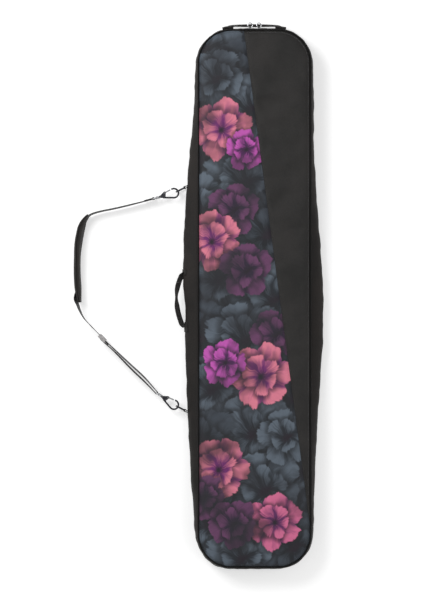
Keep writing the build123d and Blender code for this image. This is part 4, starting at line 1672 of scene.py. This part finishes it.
inset_row = [(x, y) for x, y, _, _ in outline(5.0, SEAM_ROW)]
inset_row.append(inset_row[0])
print_row = unbroken([(x, y) for x, y in inset_row if x < seam_x(y) - 4])
plain_row = unbroken([(x, y) for x, y in inset_row if x > seam_x(y) + 6])
slant_row = [(seam_x(y) + 3.2, y) for y in np.arange(crossing + 26, PANEL_END - 6, 4.0)]
face_seam("print_edge_thread", print_row, dark_thread)
face_seam("plain_edge_thread", plain_row, thread)
face_seam("slant_thread", slant_row, dark_thread)
back_row = [(x, y, back_height(x, y) - 0.1) for x, y, _, _ in outline(6.0, SEAM_ROW)]
stitched(
    "back_edge_thread", [back_row], "base", dark_thread, -UP,
    BACK_PITCH, SEAM_THREAD,
)
print("seam stitches:", round(seam_length / SEAM_PITCH), "round the front")

# %% [markdown]
# The hard parts keep the shapes of the frame and take the metals made above.

# %% Finishes of the hard parts
FINISHES = {
    dark_metal: (
        "hook_upper", "hook_lower", "d_ring_upper", "d_ring_lower",
        "zip_slider_left", "zip_slider_right",
    ),
    bright_metal: (
        "hook_eye_upper", "hook_eye_lower", "hook_gate_upper", "hook_gate_lower",
        "gate_pin_upper", "gate_pin_lower", "zip_pull_left", "zip_pull_right", "zip_stops",
    ),
    glide_metal: ("strap_adjuster",),
}
for finish, names in FINISHES.items():
    for name in names:
        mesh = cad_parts[name].data
        mesh.materials.clear()
        mesh.materials.append(finish)
shown = [name for name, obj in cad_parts.items() if not obj.hide_render]
print("frame parts that show:", sorted(shown))

# %% [markdown]
# The bag lies on a white floor. A studio sweep would do, but a floor that
# adds a little light of its own to what the camera sees gives a clean white
# ground and still keeps the soft shadow round the bag, without any more light
# on the bag itself.

# %% Floor
FLOOR_REACH, FLOOR_DROP = 6.0, 0.0005
FLOOR_GLOW = 0.42
WHITE = (1.0, 1.0, 1.0, 1.0)


def floor_material():
    made = bpy.data.materials.new("floor")
    made.use_nodes = True
    tree = made.node_tree
    tree.nodes.clear()
    rays = node(tree, "ShaderNodeLightPath").outputs
    seen = worked("MINIMUM", Field(rays["Is Camera Ray"]) + Field(rays["Is Glossy Ray"]), 1.0)
    matt = field(tree, "ShaderNodeBsdfDiffuse", {"Color": (0.8, 0.8, 0.8, 1.0)})
    glow = field(tree, "ShaderNodeEmission", {"Color": WHITE, "Strength": seen * FLOOR_GLOW})
    both = field(tree, "ShaderNodeAddShader", {0: matt, 1: glow})
    node(tree, "ShaderNodeOutputMaterial", {"Surface": both})
    return made


r = FLOOR_REACH
floor_mesh = bpy.data.meshes.new("floor")
floor_mesh.from_pydata([(-r, -r, 0), (r, -r, 0), (r, r, 0), (-r, r, 0)], [], [(0, 1, 2, 3)])
floor_mesh.materials.append(floor_material())
floor = bpy.data.objects.new("floor", floor_mesh)
scene.collection.objects.link(floor)
floor.location.z = -FLOOR_DROP
floor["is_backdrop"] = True
print("floor:", 2 * FLOOR_REACH, "m across")

# %% [markdown]
# The light is soft and comes from above: a pale world all round, one large
# lamp to the upper left that gives the padding its shape, and a weaker one
# across from it. The camera sees the world as pure white, brighter than the
# light that it gives, or the black cloth would look grey.

# %% Light
WORLD_LIGHT, WORLD_SEEN = 0.45, 1.0
world = bpy.data.worlds.new("world")
scene.world = world
world.use_nodes = True
rays = node(world.node_tree, "ShaderNodeLightPath").outputs
seen = worked("MAXIMUM", Field(rays["Is Camera Ray"]), Field(rays["Is Transmission Ray"]))
background = world.node_tree.nodes["Background"]
put(background.inputs["Color"], WHITE)
put(background.inputs["Strength"], stepped(seen, 0.0, 1.0, WORLD_LIGHT, WORLD_SEEN))


def lamp(name, place, size, power):
    """A square lamp that looks at the middle of the bag."""
    data = bpy.data.lights.new(name, "AREA")
    data.shape = "SQUARE"
    data.size = size
    data.energy = power
    made = bpy.data.objects.new(name, data)
    scene.collection.objects.link(made)
    made.location = place
    made.rotation_euler = (-Vector(place)).to_track_quat("-Z", "Y").to_euler()


lamp("key_light", (-1.8, 1.5, 2.8), 1.6, 74.0)
lamp("fill_light", (2.0, -0.8, 2.6), 2.4, 24.0)

# %% [markdown]
# Last, the box round all that shows is worked out and printed, beside the
# frame's box printed at the start. The fabric may stand a little proud of the
# solid it covers.

# %% Sizes and finish
visual_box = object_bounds()
boxes = [[list(map(float, corner)) for corner in box] for box in (cad_box, visual_box)]
print("visual box in metres:", [[round(v, 3) for v in corner] for corner in visual_box])
